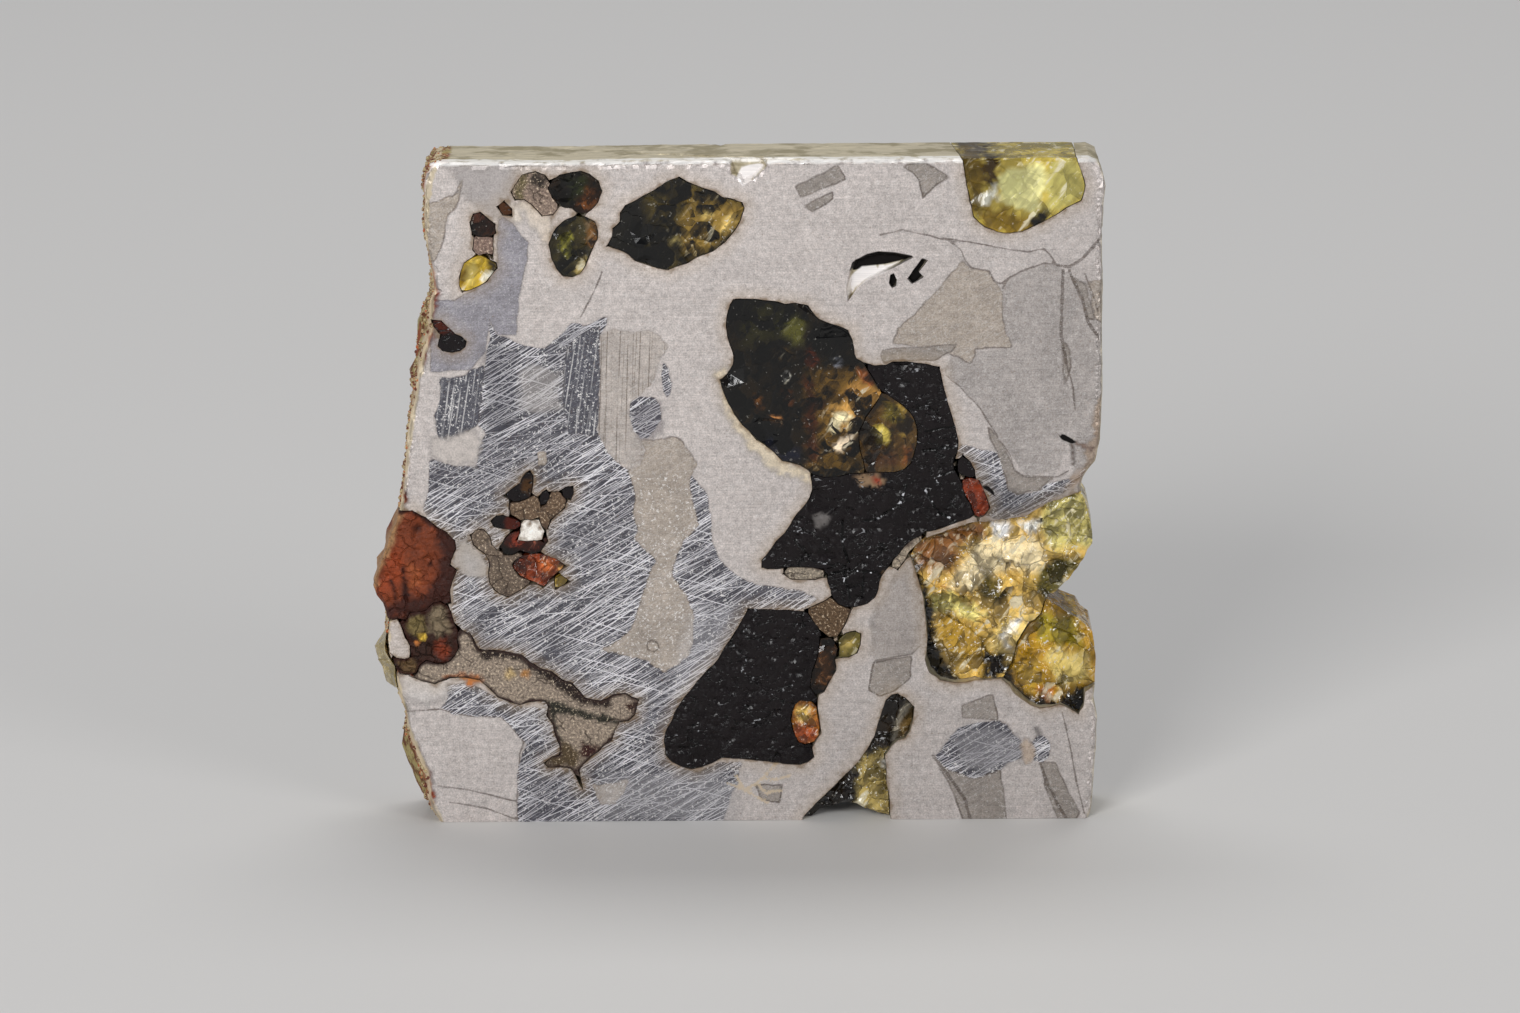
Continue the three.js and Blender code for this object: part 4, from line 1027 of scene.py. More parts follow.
def gem(
    name, size, clear, absorbed, density, bump=0.1, facets=0.3, painted_glints=0.6, painted_sparkle=0.5, contrast=1.25,
    cracked=0.45, reflecting=0.12,
):
    """Cracked olivine in its painted colours, with painted shade and highlights on facets of this size."""
    made, place = material(name)
    body = read(made, "body", "Color")
    inputs = {"Place": place, "Size": size}
    facet = use(fractured, inputs, "Shade")
    painted_glint_mask = use(fractured, inputs, "Glint")
    crack = use(fractured, inputs, "Crack")
    patch = cloud(place, 0.75 / size, 3)
    leaning = add("VectorRotate", {"Vector": place, "Angle": 0.9}, rotation_type="Y_AXIS")
    streak = cloud(leaning, 1 / size, 3, 0.6, (0.6, 1, 3.5))
    # Painted shade and light: the crystal darker and lighter by facet and streak, mixed with noise in its
    # tone.
    shade = (streak - 0.5) * 0.8 + ((facet - 0.5) * facets + patch)
    colour = tint(body, between(shade, 0.2, 0.85) * contrast + (1 - 0.52 * contrast))
    lightness = between(add("RGBToBW", {0: body}), 0.0, 0.25)
    # Painted highlights: pale gold where the brightest facets and streaks would catch the light.
    bright = between(painted_glint_mask * 0.14 + streak, 0.6, 0.74) * (lightness * painted_glints)
    colour = blend(bright, colour, blend(0.75, body, srgb(255, 246, 214)))
    # Cracks: dark in places, in others a painted reflection, lighter than the crystal.
    crack_colour_and_reflection = blend(between(patch, 0.5, 0.6), tint(body, 0.2), tint(body, 2.4))
    colour = blend(crack * cracked, colour, crack_colour_and_reflection)
    small = use(fractured, {"Place": place, "Size": 0.35 * size}, "Crack")
    colour = blend(small * (0.75 * cracked), colour, tint(body, 0.3))
    # Painted highlights: tiny near-white spots, as reflections from pits and bubbles.
    spot = patch * 0.3 + cloud(place, 3.4, 2, 0.8)
    spot = between(spot, 0.81, 0.86) * (lightness * 0.8 + 0.2)
    colour = blend(spot * painted_sparkle, colour, srgb(255, 250, 236))
    fine = cloud(place, 4 / size, 3)
    height = fine * 0.2 + (crack * -0.4 + facet)
    gloss = fine * 0.18 + 0.02
    sockets = {"Transmission_Weight": clear, "IOR": GEM_INDEX, "Specular_IOR_Level": reflecting}
    surface(made, colour, gloss, height, bump, 0.2 * size, absorbs=(srgb(*absorbed), density), **sockets)
    return made


def crystal(name, piece_name, slot, finish, base, zones=(), **shape):
    """One olivine grain in its finish, with its own colours painted on it."""
    paint(grain("olivine_" + name, piece_name, slot, finish, **shape), base, zones)


dark_gem = gem(
    "dark olivine", 1.6, 0.4, (150, 130, 50), 380.0, painted_glints=1.0, facets=0.7, painted_sparkle=0.8, contrast=1.9,
    reflecting=0.05,
)
CENTRE_ZONES = [
    ((40, 38, 18), 0.6, [(741, 303), (770, 304), (800, 312), (807, 320), (804, 345), (790, 342), (772, 341),
        (743, 348)]),
    ((74, 72, 32), 0.5, [(784, 312), (796, 316), (804, 330), (803, 343), (790, 342), (780, 330)]),
    ((104, 78, 34), 1.0, [(808, 372), (830, 372), (850, 372), (870, 385), (882, 396), (868, 415),
        (858, 440), (864, 472), (835, 478), (806, 468), (814, 440), (804, 410)]),
    ((72, 40, 20), 0.3, [(804, 378), (812, 380), (816, 400), (818, 430), (820, 462), (810, 460),
        (806, 420)]),
    ((158, 116, 58), 0.3, [(856, 380), (872, 382), (882, 392), (874, 404), (864, 412), (858, 398),
        (846, 404), (838, 396)]),
    ((196, 148, 78), 0.3, [(832, 404), (846, 400), (860, 402), (862, 414), (852, 428), (836, 426),
        (829, 418)]),
    # Painted highlights: the cream and pale gold patches below.
    ((255, 238, 188), 0.12, [(832, 414), (838, 410), (846, 413), (852, 417), (842, 422), (836, 434),
        (829, 430)]),
    ((255, 230, 196), 0.1, [(833, 447), (840, 437), (848, 436), (858, 431), (851, 443), (843, 451),
        (836, 452)]),
    ((244, 208, 140), 0.12, [(847, 420), (855, 424), (855, 432), (848, 430)]),
    ((88, 66, 28), 0.3, [(824, 452), (852, 454), (864, 462), (862, 474), (834, 476), (818, 470)]),
    ((56, 34, 18), 0.15, [(818, 398), (826, 402), (824, 412), (817, 408)]),
    ((52, 32, 16), 0.12, [(846, 452), (860, 440), (862, 446), (852, 458)]),
    ((150, 84, 40), 0.12, [(858, 366), (866, 374), (874, 384), (868, 386), (860, 376)]),
    ((236, 160, 92), 0.15, [(768, 418), (779, 417), (784, 428), (775, 425)]),
    ((22, 24, 36), 0.5, [(752, 424), (776, 434), (800, 452), (804, 462), (784, 460), (764, 444)]),
    ((70, 32, 18), 0.2, [(808, 344), (814, 347), (818, 360), (812, 370), (806, 362)]),
    ((96, 60, 26), 0.15, [(752, 395), (760, 398), (764, 408), (756, 410)]),
    ((88, 50, 24), 0.15, [(782, 388), (790, 390), (792, 404), (785, 406)]),
    ((92, 70, 32), 0.15, [(770, 350), (790, 352), (788, 360), (772, 358)]),
    # Painted highlights: the white spot and the bluish-grey spot.
    ((206, 204, 196), 0.12, [(784, 381), (783, 376), (788, 371), (790, 375), (787, 382)]),
    ((150, 154, 166), 0.12, [(831, 358), (840, 356), (843, 361), (837, 366)]),
    ((14, 12, 10), 0.4, [(812, 326), (840, 327), (850, 340), (852, 352), (830, 360), (814, 352)]),
]
crystal("centre", "polished_olivine_centre", "dark_olivine", dark_gem, (27, 21, 12), CENTRE_ZONES)
crystal("top_middle", "polished_olivine_top_middle", "dark_olivine", dark_gem, (66, 56, 26), [
    ((18, 16, 10), 0.6, [(607, 200), (640, 196), (650, 215), (646, 240), (655, 262), (640, 268),
        (600, 256)]),
    ((134, 108, 50), 0.8, [(690, 196), (735, 200), (746, 208), (735, 230), (712, 250), (690, 258),
        (680, 240)]),
    # Painted highlights: the three pale gold zones.
    ((250, 225, 140), 0.25, [(668, 238), (676, 236), (679, 243), (671, 246)]),
    ((245, 215, 130), 0.3, [(700, 214), (712, 208), (716, 214), (704, 222)]),
    ((240, 205, 120), 0.3, [(722, 222), (732, 216), (730, 226), (722, 230)]),
])
crystal("top_left_lower", "polished_olivine_top_left_lower", "dark_olivine", dark_gem, (52, 46, 24), [
    ((176, 170, 70), 0.25, [(559, 236), (568, 237), (569, 257), (561, 253)]),
    ((116, 78, 38), 0.4, [(586, 222), (600, 226), (597, 245), (590, 250)]),
    # Painted highlight: the pale gold zone.
    ((235, 205, 120), 0.25, [(570, 270), (585, 262), (581, 274)]),
])
round_gem = gem(
    "olive gold olivine", 1.3, 0.45, (190, 150, 60), 300.0, facets=0.6, contrast=1.7, reflecting=0.08,
)
crystal("centre_right", "polished_olivine_centre_right", "honey_olivine", round_gem, (84, 62, 28), [
    ((44, 30, 14), 0.5, [(874, 392), (884, 398), (872, 420), (862, 440), (856, 440), (862, 415)]),
    ((112, 98, 34), 0.4, [(886, 402), (900, 408), (906, 418), (896, 424), (884, 418)]),
    ((176, 146, 66), 0.2, [(898, 405), (907, 411), (911, 420), (905, 418)]),
    # Painted glint: the pale yellow zone.
    ((226, 202, 92), 0.25, [(873, 430), (884, 424), (890, 430), (886, 440), (876, 440)]),
    ((180, 150, 70), 0.15, [(898, 430), (906, 432), (904, 440), (897, 438)]),
    ((68, 42, 20), 0.6, [(866, 450), (898, 450), (898, 464), (868, 468)]),
    ((128, 76, 36), 0.2, [(905, 448), (912, 446), (908, 462), (900, 466)]),
])
brown_gem = gem(
    "brown olivine", 0.9, 0.3, (140, 80, 40), 500.0, facets=0.6, contrast=1.6, painted_sparkle=0.9, reflecting=0.06,
)
for name in ("top_left_upper", "heart", "brown", "dark_red"):
    crystal(name, "polished_olivine_" + name, "brown_olivine", brown_gem, (34, 25, 17), [
        ((40, 44, 22), 0.5, [(564, 178), (582, 176), (586, 198), (570, 202)]),
        ((100, 58, 26), 0.5, [(588, 190), (601, 192), (598, 204), (584, 213), (574, 206)]),
        ((128, 84, 50), 0.6, [(818, 650), (832, 650), (832, 676), (818, 690)]),
        ((112, 44, 28), 0.3, [(502, 548), (508, 534), (522, 529), (540, 531), (548, 541), (540, 550),
            (520, 550)]),
        # Painted highlight: the light red-brown zone.
        ((150, 84, 66), 0.15, [(530, 536), (542, 534), (544, 542), (532, 545)]),
        ((66, 38, 27), 0.4, [(470, 213), (480, 211), (495, 222), (496, 234), (474, 236)]),
    ])

# The clear olivine: thin, pale yellow-green crystals at the slice's top corner and in its thin spots, where
# light goes right through. They were cut and polished with the metal.
clear_gem = gem(
    "clear olivine", 1.8, 0.3, (250, 236, 150), 40.0, facets=0.4, painted_glints=1.0, bump=0.25, painted_sparkle=0.3,
    contrast=0.9, cracked=0.16,
)
crystal("top_right", "clear_olivine_top_right", "clear_olivine", clear_gem, (206, 182, 84), [
    ((104, 84, 28), 0.4, [(955, 140), (984, 140), (987, 185), (980, 215), (966, 205)]),
    ((62, 46, 16), 0.3, [(983, 156), (1000, 160), (998, 180), (985, 188)]),
    # Painted highlights: the pale yellow facet and its brightest part.
    ((255, 248, 170), 0.2, [(1000, 178), (1012, 170), (1030, 164), (1046, 165), (1049, 178), (1043, 195),
        (1035, 213), (1018, 208), (1001, 198)]),
    ((255, 250, 168), 0.3, [(1004, 178), (1022, 170), (1024, 196), (1012, 200), (1003, 192)]),
    ((196, 184, 104), 0.4, [(1050, 160), (1078, 160), (1086, 185), (1075, 204), (1048, 212), (1045, 195)]),
    ((146, 118, 40), 0.3, [(974, 210), (1000, 209), (1030, 218), (1046, 216), (1030, 234), (1000, 236),
        (984, 230)]),
    # Painted highlight: a white streak.
    ((252, 250, 232), 0.2, [(978, 199), (984, 193), (996, 187), (998, 200), (985, 203)]),
    ((26, 22, 20), 0.25, [(1029, 223), (1040, 212), (1051, 211), (1046, 222), (1035, 228)]),
])
crust_gem = gem("olivine crust", 0.9, 0.15, (240, 230, 170), 60.0, facets=0.3, painted_glints=0.5, contrast=0.7)
for name, colour, finish in (
    ("yellow", (226, 188, 60), clear_gem),
    ("green", (108, 96, 44), clear_gem),
    ("crust", (164, 144, 88), crust_gem),
):
    crystal(name, "clear_olivine_" + name, "clear_olivine", finish, colour, [
        # Painted highlight: the white zone.
        ((255, 252, 235), 0.15, [(478, 284), (482, 275), (489, 267), (494, 272), (486, 282)]),
        ((250, 222, 120), 0.3, [(466, 264), (478, 261), (475, 284), (463, 288)]),
        ((150, 116, 30), 0.3, [(460, 274), (466, 268), (466, 286), (460, 288)]),
        ((50, 38, 18), 0.3, [(487, 258), (499, 262), (498, 270), (490, 270)]),
        ((190, 165, 90), 0.3, [(842, 640), (856, 636), (852, 648), (842, 652)]),
    ])

# The broken olivine: honey and amber crystals along the broken right edge and the foot. They snapped when
# the slice broke, so they end in shell-like facets, not in the polish.
FACETS = ((2.2, 0.42), (0.8, 0.12))
BROKEN_STEP = 0.2 * MM


def shattered(seed, facets=FACETS):
    """Makes the relief of a broken crystal: planes of two sizes, each tilted its own way."""

    def relief(points):
        random = np.random.default_rng(seed)
        places = np.array([p[:] for p in points]) / MM
        low, high = places.min(0), places.max(0)
        for size, depth in facets:
            count = int((high[0] - low[0]) * (high[2] - low[2]) / size**2) + 3
            seeds = random.uniform(low, high, (count, 3))
            tilts = random.normal(0, 0.9 * depth / size, (count, 2))
            near = flat_tree(seeds[:, [0, 2]])
            for point, place in zip(points, places):
                _, i, _ = near.find((place[0], place[2], 0))
                drop = depth + tilts[i] @ (place[[0, 2]] - seeds[i][[0, 2]])
                point.y += min(max(drop, 0), 2.5 * depth) * MM * near_front(point, 2.2 * MM)

    return relief


broken_gem = gem(
    "broken olivine", 1.5, 0.3, (235, 195, 110), 100.0, facets=0.75, painted_glints=1.0, bump=0.6, painted_sparkle=1.0,
    reflecting=0.25,
)
RIGHT_UPPER_ZONES = [
    ((138, 90, 46), 0.8, [(912, 548), (935, 534), (960, 524), (988, 522), (986, 540), (962, 546),
        (958, 572), (935, 580), (916, 568)]),
    ((249, 228, 179), 0.6, [(962, 572), (975, 546), (1000, 540), (1040, 545), (1048, 560), (1040, 576),
        (1010, 572), (985, 580), (970, 592), (948, 590)]),
    ((206, 193, 116), 0.6, [(1045, 495), (1085, 495), (1100, 545), (1052, 554), (1040, 530)]),
    ((94, 85, 38), 0.5, [(1052, 560), (1088, 558), (1062, 592), (1046, 600), (1028, 592), (1042, 574)]),
    ((116, 99, 43), 0.4, [(982, 581), (998, 582), (1006, 600), (1000, 607), (990, 601), (979, 596)]),
    ((255, 240, 146), 0.4, [(930, 598), (960, 600), (986, 616), (975, 626), (955, 616), (934, 612)]),
    ((168, 132, 46), 0.6, [(937, 617), (965, 620), (985, 640), (1000, 655), (985, 668), (955, 664),
        (942, 645)]),
    ((255, 222, 134), 0.4, [(988, 650), (992, 638), (1003, 622), (1045, 616), (1030, 636), (1018, 652),
        (1012, 668), (1000, 658)]),
    # Painted highlights: the four white zones.
    ((255, 255, 251), 0.2, [(1001, 636), (1008, 632), (1010, 648), (1016, 656), (1008, 656)]),
    ((255, 255, 255), 0.25, [(1010, 628), (1020, 625), (1018, 634), (1010, 634)]),
    ((255, 255, 255), 0.3, [(991, 524), (1010, 521), (1013, 535), (1000, 541), (991, 536)]),
    ((255, 255, 249), 0.3, [(1015, 524), (1040, 522), (1040, 534), (1018, 537)]),
    ((20, 15, 10), 0.35, [(900, 556), (914, 558), (922, 580), (934, 612), (936, 640), (944, 664),
        (962, 681), (942, 690), (922, 674), (918, 610)]),
    ((22, 17, 12), 0.3, [(984, 660), (1003, 658), (1010, 672), (996, 682), (985, 678)]),
]
RIGHT_LOWER_ZONES = [
    ((178, 158, 44), 0.6, [(1036, 618), (1075, 618), (1082, 650), (1060, 648), (1040, 642)]),
    ((208, 168, 62), 0.6, [(1016, 668), (1040, 662), (1046, 694), (1028, 694)]),
    ((226, 202, 120), 0.5, [(1046, 652), (1085, 655), (1090, 684), (1060, 690), (1050, 672)]),
    ((186, 110, 42), 0.4, [(1034, 690), (1056, 692), (1052, 702), (1038, 700)]),
    ((24, 18, 12), 0.3, [(1000, 680), (1012, 672), (1018, 686), (1030, 698), (1058, 702), (1085, 688),
        (1088, 716), (1040, 714), (1004, 694)]),
]
crystal(
    "right_upper", "broken_olivine_upper", "honey_olivine", broken_gem, (222, 182, 94), RIGHT_UPPER_ZONES,
    step=BROKEN_STEP, relief=shattered(3),
)
golden_gem = gem(
    "golden olivine", 1.8, 0.4, (240, 200, 90), 60.0, facets=0.6, painted_glints=1.0, bump=0.5, painted_sparkle=1.0,
    reflecting=0.3,
)
crystal(
    "right_lower", "broken_olivine_lower", "amber_olivine", golden_gem, (184, 140, 36), RIGHT_LOWER_ZONES,
    step=BROKEN_STEP, relief=shattered(8),
)
FOOT_ZONES = [
    ((176, 154, 90), 0.5, [(862, 758), (886, 752), (895, 835), (850, 835), (856, 800), (850, 775)]),
    ((26, 20, 14), 0.3, [(800, 830), (850, 770), (858, 775), (852, 830)]),
    # Painted glint: the gold-brown patch.
    ((116, 92, 52), 0.2, [(899, 722), (910, 712), (912, 726), (904, 740), (897, 740)]),
    ((146, 138, 122), 0.12, [(892, 742), (895, 728), (899, 719), (906, 704), (911, 706), (903, 722),
        (899, 732), (896, 744)]),
    # Painted highlight: the white spot.
    ((250, 246, 236), 0.15, [(881, 762), (887, 760), (888, 772), (882, 773)]),
]
crystal(
    "foot", "broken_olivine_foot", "honey_olivine", broken_gem, (36, 28, 18), FOOT_ZONES,
    step=BROKEN_STEP, relief=shattered(5),
)
crystal("tiny", "broken_olivine_tiny", "honey_olivine", broken_gem, (170, 140, 60))
small_gem = gem("small broken olivine", 0.7, 0.3, (220, 140, 70), 200.0, facets=0.5, painted_glints=0.7, bump=0.4)
crystal("amber", "broken_olivine_amber", "amber_olivine", small_gem, (176, 112, 46), [
    ((226, 186, 96), 0.3, [(794, 712), (806, 708), (810, 718), (798, 724)]),
    ((160, 76, 38), 0.4, [(792, 726), (818, 722), (816, 738), (806, 746), (796, 742)]),
], relief=shattered(12, ((0.8, 0.15),)))
for name, colour in (("red", (122, 50, 26)), ("orange", (136, 62, 36))):
    crystal(name, "broken_olivine_" + name, "amber_olivine", small_gem, colour, [
        ((74, 38, 28), 0.3, [(510, 562), (520, 556), (526, 560), (524, 576), (514, 572)]),
        ((218, 112, 54), 0.3, [(542, 558), (556, 560), (560, 568), (548, 578), (540, 570)]),
        # Painted highlight: the pale orange zone.
        ((236, 170, 96), 0.15, [(558, 562), (565, 565), (562, 571), (556, 570)]),
        ((70, 44, 28), 0.15, [(561, 560), (567, 565), (565, 569), (560, 565)]),
    ], relief=shattered(4, ((0.8, 0.12),)))

# Troilite: bronze-brown iron sulphide in veins and knots round the dark grains. It is granular, softer than
# the metal, and has weathered dark along its borders.
troilite, place = material("granular troilite")
body = read(troilite, "body", "Color")
patch = cloud(place, 0.9, 4)
granules = cloud(place, 6.0, 3, 0.75)
colour = tint(body, granules * 3.2 - 0.78)
colour = blend(between(patch, 0.56, 0.66), colour, tint(body, 0.6))
# Partly the granules' own pale tone and partly painted highlights, where grains catch the light.
colour = blend(between(granules, 0.57, 0.65) * 0.7, colour, srgb(226, 208, 180))
crack = use(cracks, {"Place": place, "Size": 1.5, "Width": 0.06}, "Crack") * between(patch, 0.45, 0.55)
colour = blend(crack * 0.7, colour, srgb(52, 38, 30))
rim = patch * 0.6 + (read(troilite, "rim") - 0.3)
colour = blend(between(rim, 0.4, 0.12), colour, srgb(44, 24, 17))
height = crack * -0.8 + (patch + granules)
surface(troilite, colour, granules * 0.3 + 0.3, height, 0.7, 0.08, Metallic=0.4)
VEIN_ZONES = [
    ((40, 24, 17), 0.2, [(474, 628), (486, 642), (504, 640), (532, 648), (556, 664), (572, 680), (588, 694),
        (610, 696), (610, 706), (592, 706), (574, 700), (556, 686), (538, 674), (520, 662), (500, 658),
        (480, 658), (470, 642)]),
    ((44, 42, 32), 0.2, [(547, 698), (562, 704), (580, 710), (604, 715), (621, 721), (619, 725), (600, 721),
        (578, 717), (556, 711), (556, 724), (562, 740), (556, 742), (549, 722)]),
    ((88, 72, 50), 0.3, [(556, 744), (566, 742), (580, 756), (580, 770), (560, 768), (545, 768),
        (546, 760)]),
    ((62, 26, 20), 0.15, [(580, 741), (588, 746), (600, 748), (594, 758), (582, 757)]),
    ((60, 34, 24), 0.15, [(625, 704), (638, 700), (640, 706), (630, 712)]),
    ((196, 168, 120), 0.2, [(505, 670), (512, 668), (514, 676), (507, 678)]),
    ((176, 124, 70), 0.2, [(521, 671), (527, 672), (526, 679), (521, 678)]),
    ((188, 116, 66), 0.2, [(444, 676), (480, 674), (481, 682), (446, 682)]),
]
TOP_LEFT_ZONES = [
    ((52, 42, 34), 0.3, [(530, 172), (546, 170), (551, 180), (545, 187), (532, 183)]),
    ((104, 92, 62), 0.3, [(510, 192), (518, 178), (526, 172), (527, 200), (518, 203)]),
]
for name, colour, zones, narrow in (
    ("top_left", (146, 126, 112), TOP_LEFT_ZONES, 2.5),
    ("link", (138, 114, 102), (), 2.5),
    ("speck", (150, 138, 122), (), 1.5),
    ("middle", (97, 75, 53), (), 2.0),
    ("sliver", (160, 146, 128), (), 1.5),
    ("vein", (156, 140, 124), VEIN_ZONES, 1.0),
    ("left_upper", (112, 90, 70), (), 2.0),
    ("left_lower", (114, 98, 84), (), 2.0),
):
    piece = grain("troilite_" + name, "granular_troilite_" + name, "troilite", troilite)
    keep(piece, "rim", narrow * np.array(from_neighbours(piece, "troilite_" + name)))
    paint(piece, colour, zones)

# The rust nodule and the weathered silicate beside it, at the natural left edge: metal and olivine that
# water turned to iron oxides. Both are dull, cracked and pitted.
WEATHERED_STEP = 0.2 * MM


def weathered_look(name, crack_size, crack_share):
    """Iron oxides in the colours painted on them, mottled, finely cracked and rough."""
    made, place = material(name)
    body = read(made, "body", "Color")
    patch = cloud(place, 0.8, 5, 0.65)
    fine = cloud(place, 5, 3, 0.75)
    crack = use(cracks, {"Place": place, "Size": crack_size, "Width": 0.09}, "Crack")
    crack = crack * between(patch, 0.42, 0.55)
    shade = patch * 1.3 + (fine * 1.3 - 0.3)
    colour = tint(body, shade)
    colour = blend(between(fine, 0.62, 0.72) * 0.5, colour, tint(body, 2.2))
    colour = blend(crack * crack_share, colour, tint(body, 0.25))
    rim = patch * 0.8 + (read(made, "rim") - 0.4)
    colour = blend(between(rim, 0.5, 0.15), colour, srgb(50, 26, 19))
    height = crack * -0.8 + (patch + fine * 0.4)
    surface(made, colour, fine * 0.4 + 0.3, height, 0.8, 0.2, Specular_IOR_Level=0.2)
    return made


rust = weathered_look("rust", 0.9, 0.16)
piece = grain("rust_inclusion", "rust_nodule", "rust", rust, WEATHERED_STEP, pitted)
keep(piece, "rim", from_neighbours(piece, "rust_inclusion"))
paint(piece, (112, 56, 34), [
    ((138, 74, 44), 0.4, [(408, 566), (420, 566), (422, 586), (408, 588)]),
    ((134, 62, 36), 0.6, [(386, 560), (398, 548), (404, 575), (392, 596), (380, 590)]),
    ((60, 32, 25), 0.5, [(418, 506), (430, 512), (448, 526), (468, 538), (466, 575), (458, 606), (428, 612),
        (380, 622), (376, 606), (404, 601), (428, 592), (437, 572), (440, 550), (436, 530), (424, 519)]),
    ((38, 18, 14), 0.15, [(413, 526), (419, 526), (419, 532), (413, 532)]),
    ((38, 18, 14), 0.15, [(428, 561), (432, 561), (432, 567), (428, 566)]),
    ((46, 20, 14), 0.15, [(401, 566), (404, 566), (408, 584), (407, 600), (403, 598)]),
    ((52, 24, 16), 0.15, [(390, 580), (393, 580), (398, 600), (394, 600)]),
    ((160, 122, 86), 0.2, [(396, 512), (404, 514), (391, 548), (377, 578), (374, 594), (366, 592),
        (372, 572), (384, 544)]),
])
weathered = weathered_look("weathered silicate", 0.7, 0.5)
piece = grain(
    "weathered_silicate", "weathered_silicate_patch", "weathered_silicate", weathered, WEATHERED_STEP, pitted,
)
keep(piece, "rim", from_neighbours(piece, "weathered_silicate"))
paint(piece, (50, 32, 25), [
    ((108, 94, 60), 0.35, [(407, 616), (415, 611), (423, 616), (423, 630), (415, 636), (407, 630)]),
    ((114, 100, 80), 0.35, [(431, 602), (441, 600), (448, 612), (448, 630), (438, 638), (430, 626)]),
    ((116, 52, 32), 0.3, [(432, 642), (446, 640), (454, 650), (450, 662), (436, 664)]),
    ((92, 72, 48), 0.35, [(398, 661), (410, 657), (420, 664), (418, 676), (404, 676)]),
    ((214, 176, 70), 0.15, [(420, 635), (425, 635), (425, 640), (420, 640)]),
    ((196, 120, 60), 0.15, [(414, 640), (419, 641), (418, 646), (414, 645)]),
    ((78, 48, 32), 0.4, [(400, 600), (412, 602), (408, 612), (398, 612)]),
])

# Crust grains: crumbs of rust and weathered silicate that cling to the slice's natural edge, which was the
# skin of the meteorite. They sit half sunk in the crust, scattered by chance, each turned and sized by
# chance.
CRUMBS_PER_AREA = 4.0e6
SMALLEST_CRUMB = 0.05 * MM
LARGEST_CRUMB = 0.2 * MM
CRUMB_ROUGHNESS = 0.5
CRUMB_SEED = 11
CRUST_REACH = 0.7
crumb_finish, place = material("crust grains")
tone = cloud(place, 2.2, 3, 0.7)
colour = blend(between(tone, 0.42, 0.5), srgb(96, 46, 28), srgb(176, 160, 122))
colour = blend(between(tone, 0.56, 0.62), colour, srgb(168, 84, 44))
fine = cloud(place, 12, 2)
colour = tint(colour, fine * 0.8 + 0.6)
surface(crumb_finish, colour, fine * 0.3 + 0.5, fine, 0.5, 0.03)


def scatter_tree():
    """Geometry nodes that scatter rough crumbs over the faces they are given."""
    tree, given, result = open_tree(
        "scattered crumbs",
        "GeometryNodeTree",
        [("Geometry", "Geometry", None), ("Per area", "Float", None), ("Smallest", "Float", None),
         ("Largest", "Float", None), ("Roughness", "Float", None), ("Seed", "Int", None),
         ("Finish", "Material", None)],
        [("Geometry", "Geometry")],
    )
    stone = add("MeshIcoSphere", {"Radius": 1.0, "Subdivisions": 1}, tree=tree, family="GeometryNode")
    lumps = add("TexNoise", {"Scale": 1.3, "Detail": 1.0}, "Color", tree)
    lumps = add("VectorMath", {0: lumps, 1: (0.5, 0.5, 0.5)}, operation="SUBTRACT")
    lumps = add("VectorMath", {0: lumps, "Scale": given["Roughness"]}, operation="SCALE")
    stone = add("SetPosition", {"Geometry": stone, "Offset": lumps}, family="GeometryNode")
    scattered = {"Mesh": given["Geometry"], "Density": given["Per area"], "Seed": given["Seed"]}
    places = add("DistributePointsOnFaces", scattered, family="GeometryNode")
    turn = {"Max": (math.tau, math.tau, math.tau), "Seed": given["Seed"]}
    turn = add("RandomValue", turn, family="FunctionNode", data_type="FLOAT_VECTOR")
    size = {2: given["Smallest"], 3: given["Largest"], "Seed": given["Seed"]}
    size = add("RandomValue", size, 1, family="FunctionNode", data_type="FLOAT")
    crumbs = {"Points": places, "Instance": stone, "Rotation": turn, "Scale": size}
    crumbs = add("InstanceOnPoints", crumbs, family="GeometryNode")
    crumbs = add("RealizeInstances", {"Geometry": crumbs}, family="GeometryNode")
    crumbs = add("SetMaterial", {"Geometry": crumbs, "Material": given["Finish"]}, family="GeometryNode")
    fill(result, {"Geometry": crumbs})
    return tree


def crust_faces(piece):
    """The faces of the piece along the natural edge, as an object of their own."""
    natural = np.empty(len(piece.data.vertices), np.float32)
    piece.data.attributes["natural"].data.foreach_get("value", natural)
    chosen = []
    first, last = FRONT_Y + LARGEST_CRUMB, BACK_Y - LARGEST_CRUMB
    for face in piece.data.polygons:
        clear = all(first < piece.data.vertices[i].co.y < last for i in face.vertices)
        natural_here = max(natural[i] for i in face.vertices) < CRUST_REACH
        if clear and natural_here and face.center.z > 2 * LARGEST_CRUMB:
            chosen.append(tuple(face.vertices))
    corners, faces = renumbered(chosen)
    return finished([piece.data.vertices[corner].co.copy() for corner in corners], faces, "crust_grains")


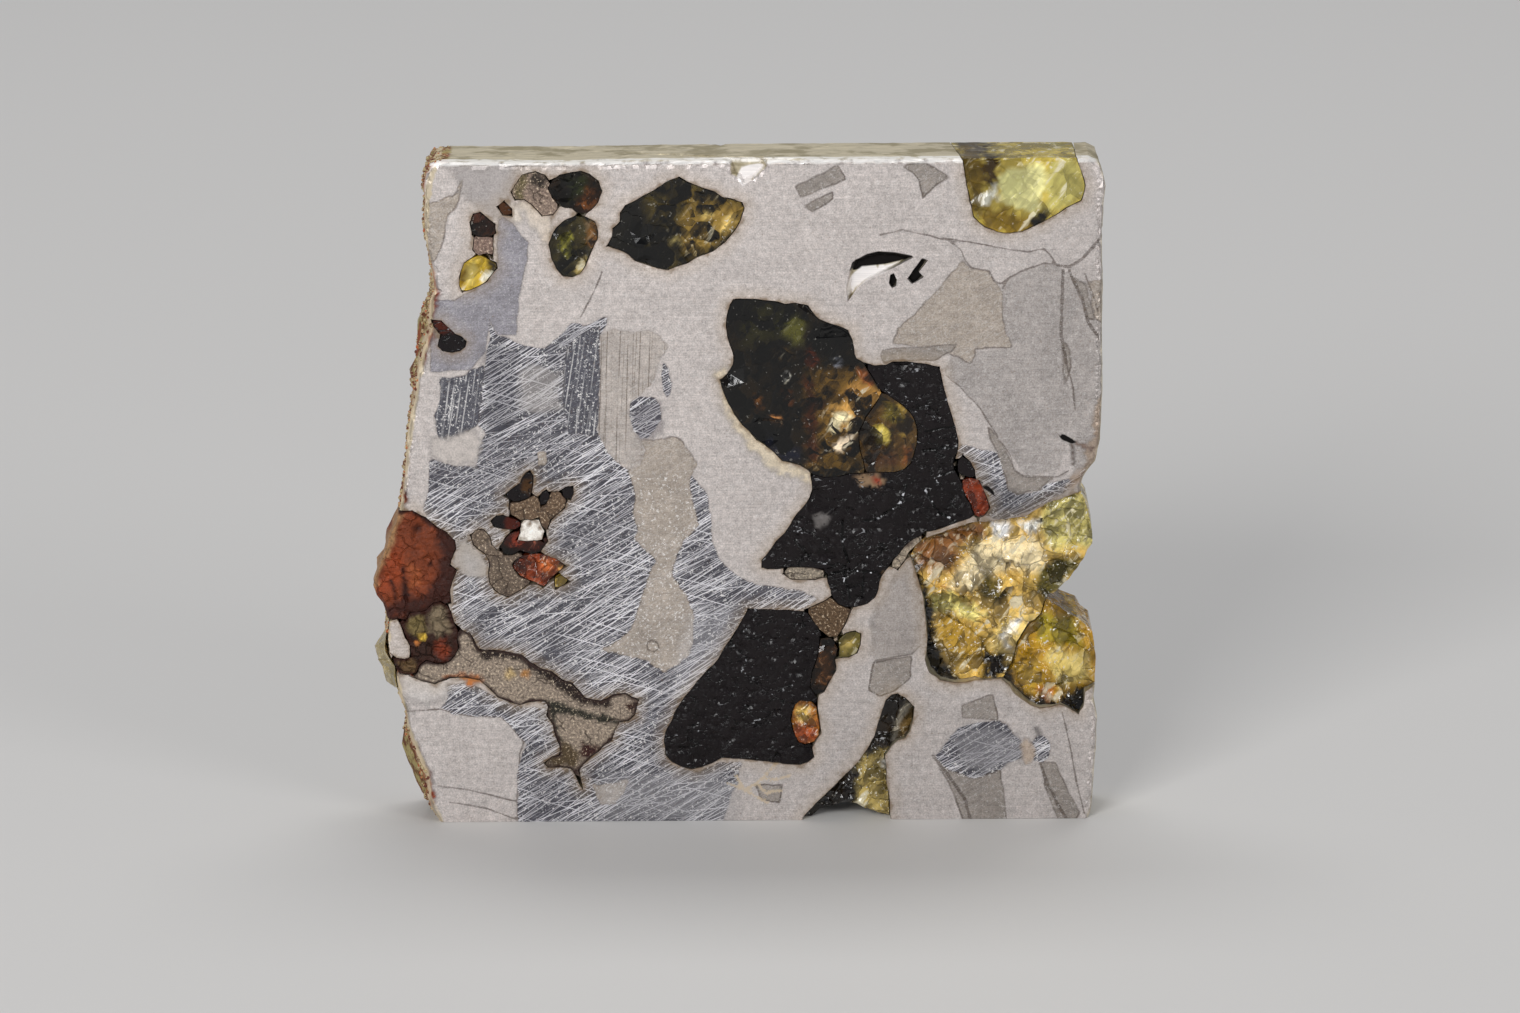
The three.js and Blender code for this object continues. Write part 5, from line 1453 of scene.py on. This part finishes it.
crumbs = crust_faces(metal)
scatter = crumbs.modifiers.new("scatter", "NODES")
scatter.node_group = scatter_tree()
labels = scatter.node_group.interface.items_tree
sockets = {label.name: label.identifier for label in labels if label.in_out == "INPUT"}
for label, value in (
    ("Per area", CRUMBS_PER_AREA), ("Smallest", SMALLEST_CRUMB), ("Largest", LARGEST_CRUMB),
    ("Roughness", CRUMB_ROUGHNESS), ("Seed", CRUMB_SEED), ("Finish", crumb_finish),
):
    scatter[sockets[label]] = value
scattered = crumbs.evaluated_get(bpy.context.evaluated_depsgraph_get())
grains = bpy.data.meshes.new_from_object(scattered)
crumbs.modifiers.clear()
grains.materials.pop(index=0)
crumbs.data = grains
for corner in grains.vertices:
    hold_in_box(corner.co)
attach(crumbs, "root")

# The metal bead and the metal island: native iron-nickel like the slab, closed in by troilite and dark
# grains.
for name in ("island", "bead"):
    piece = grain("metal_" + name, "polished_metal_" + name, "metal", metal_finish)
    mark_fields(piece, "metal_" + name)

# The pale floor and the soft light of a photographer's table.
FLOOR_RADIUS = 2.2
FLOOR_GAP = 0.02 * MM
SKY_COLOUR = (0.9, 0.93, 1.0, 1)
SKY_STRENGTH = 0.26
PICTURE_WIDTH = 1520
SENSOR_WIDTH = 36
bm = bmesh.new()
bmesh.ops.create_circle(bm, cap_ends=True, segments=128, radius=FLOOR_RADIUS)
floor_mesh = bpy.data.meshes.new("floor")
bm.to_mesh(floor_mesh)
bm.free()
floor = bpy.data.objects.new("floor", floor_mesh)
floor.location.z = -FLOOR_GAP
bpy.context.collection.objects.link(floor)
floor_finish, _ = material("pale floor")
surface(floor_finish, srgb(205, 203, 200), 0.6)
floor.data.materials.append(floor_finish)

bpy.context.scene.view_settings.view_transform = "Standard"
world = bpy.data.worlds.new("studio")
bpy.context.scene.world = world
world.use_nodes = True
fill(world.node_tree.nodes["Background"], {"Color": SKY_COLOUR, "Strength": SKY_STRENGTH})


def soft_light(name, place, aim, size, watts):
    """A flat soft lamp at a place, turned to what it lights."""
    lamp = bpy.data.lights.new(name, "AREA")
    lamp.shape = "RECTANGLE"
    lamp.size, lamp.size_y = size
    lamp.energy = watts
    held = bpy.data.objects.new(name, lamp)
    held.location = place
    held.rotation_euler = (Vector(aim) - Vector(place)).to_track_quat("-Z", "Y").to_euler()
    bpy.context.collection.objects.link(held)


middle = (0, 0, 0.022)
soft_light("key", (-0.28, -0.6, 0.34), middle, (0.3, 0.22), 3.4)
soft_light("fill", (0.5, -0.45, 0.22), middle, (0.25, 0.25), 1.3)
soft_light("top", (0.0, 0.3, 0.7), (0, 0.4, 0), (0.6, 0.3), 2.6)

camera = bpy.data.objects.new("camera", bpy.data.cameras.new("camera"))
bpy.context.collection.objects.link(camera)
bpy.context.scene.camera = camera
camera.data.sensor_width = SENSOR_WIDTH
camera.data.lens = SENSOR_WIDTH * PIXELS_PER_MM * CAMERA_DISTANCE / PICTURE_WIDTH
camera.data.clip_start = 0.01
across = Vector((1, 0, 0))
back = Vector((0, -math.cos(CAMERA_TILT), math.sin(CAMERA_TILT)))
up = back.cross(across)
right = across * math.cos(CAMERA_ROLL) - up * math.sin(CAMERA_ROLL)
upward = across * math.sin(CAMERA_ROLL) + up * math.cos(CAMERA_ROLL)
target = Vector((PICTURE_OFFSET * MM, FRONT_Y, PICTURE_CENTRE_HEIGHT * MM))
stand = target + back * CAMERA_DISTANCE * MM
rows = [(*row, stand[i]) for i, row in enumerate(zip(right, upward, back))]
camera.matrix_world = Matrix(rows + [(0, 0, 0, 1)])
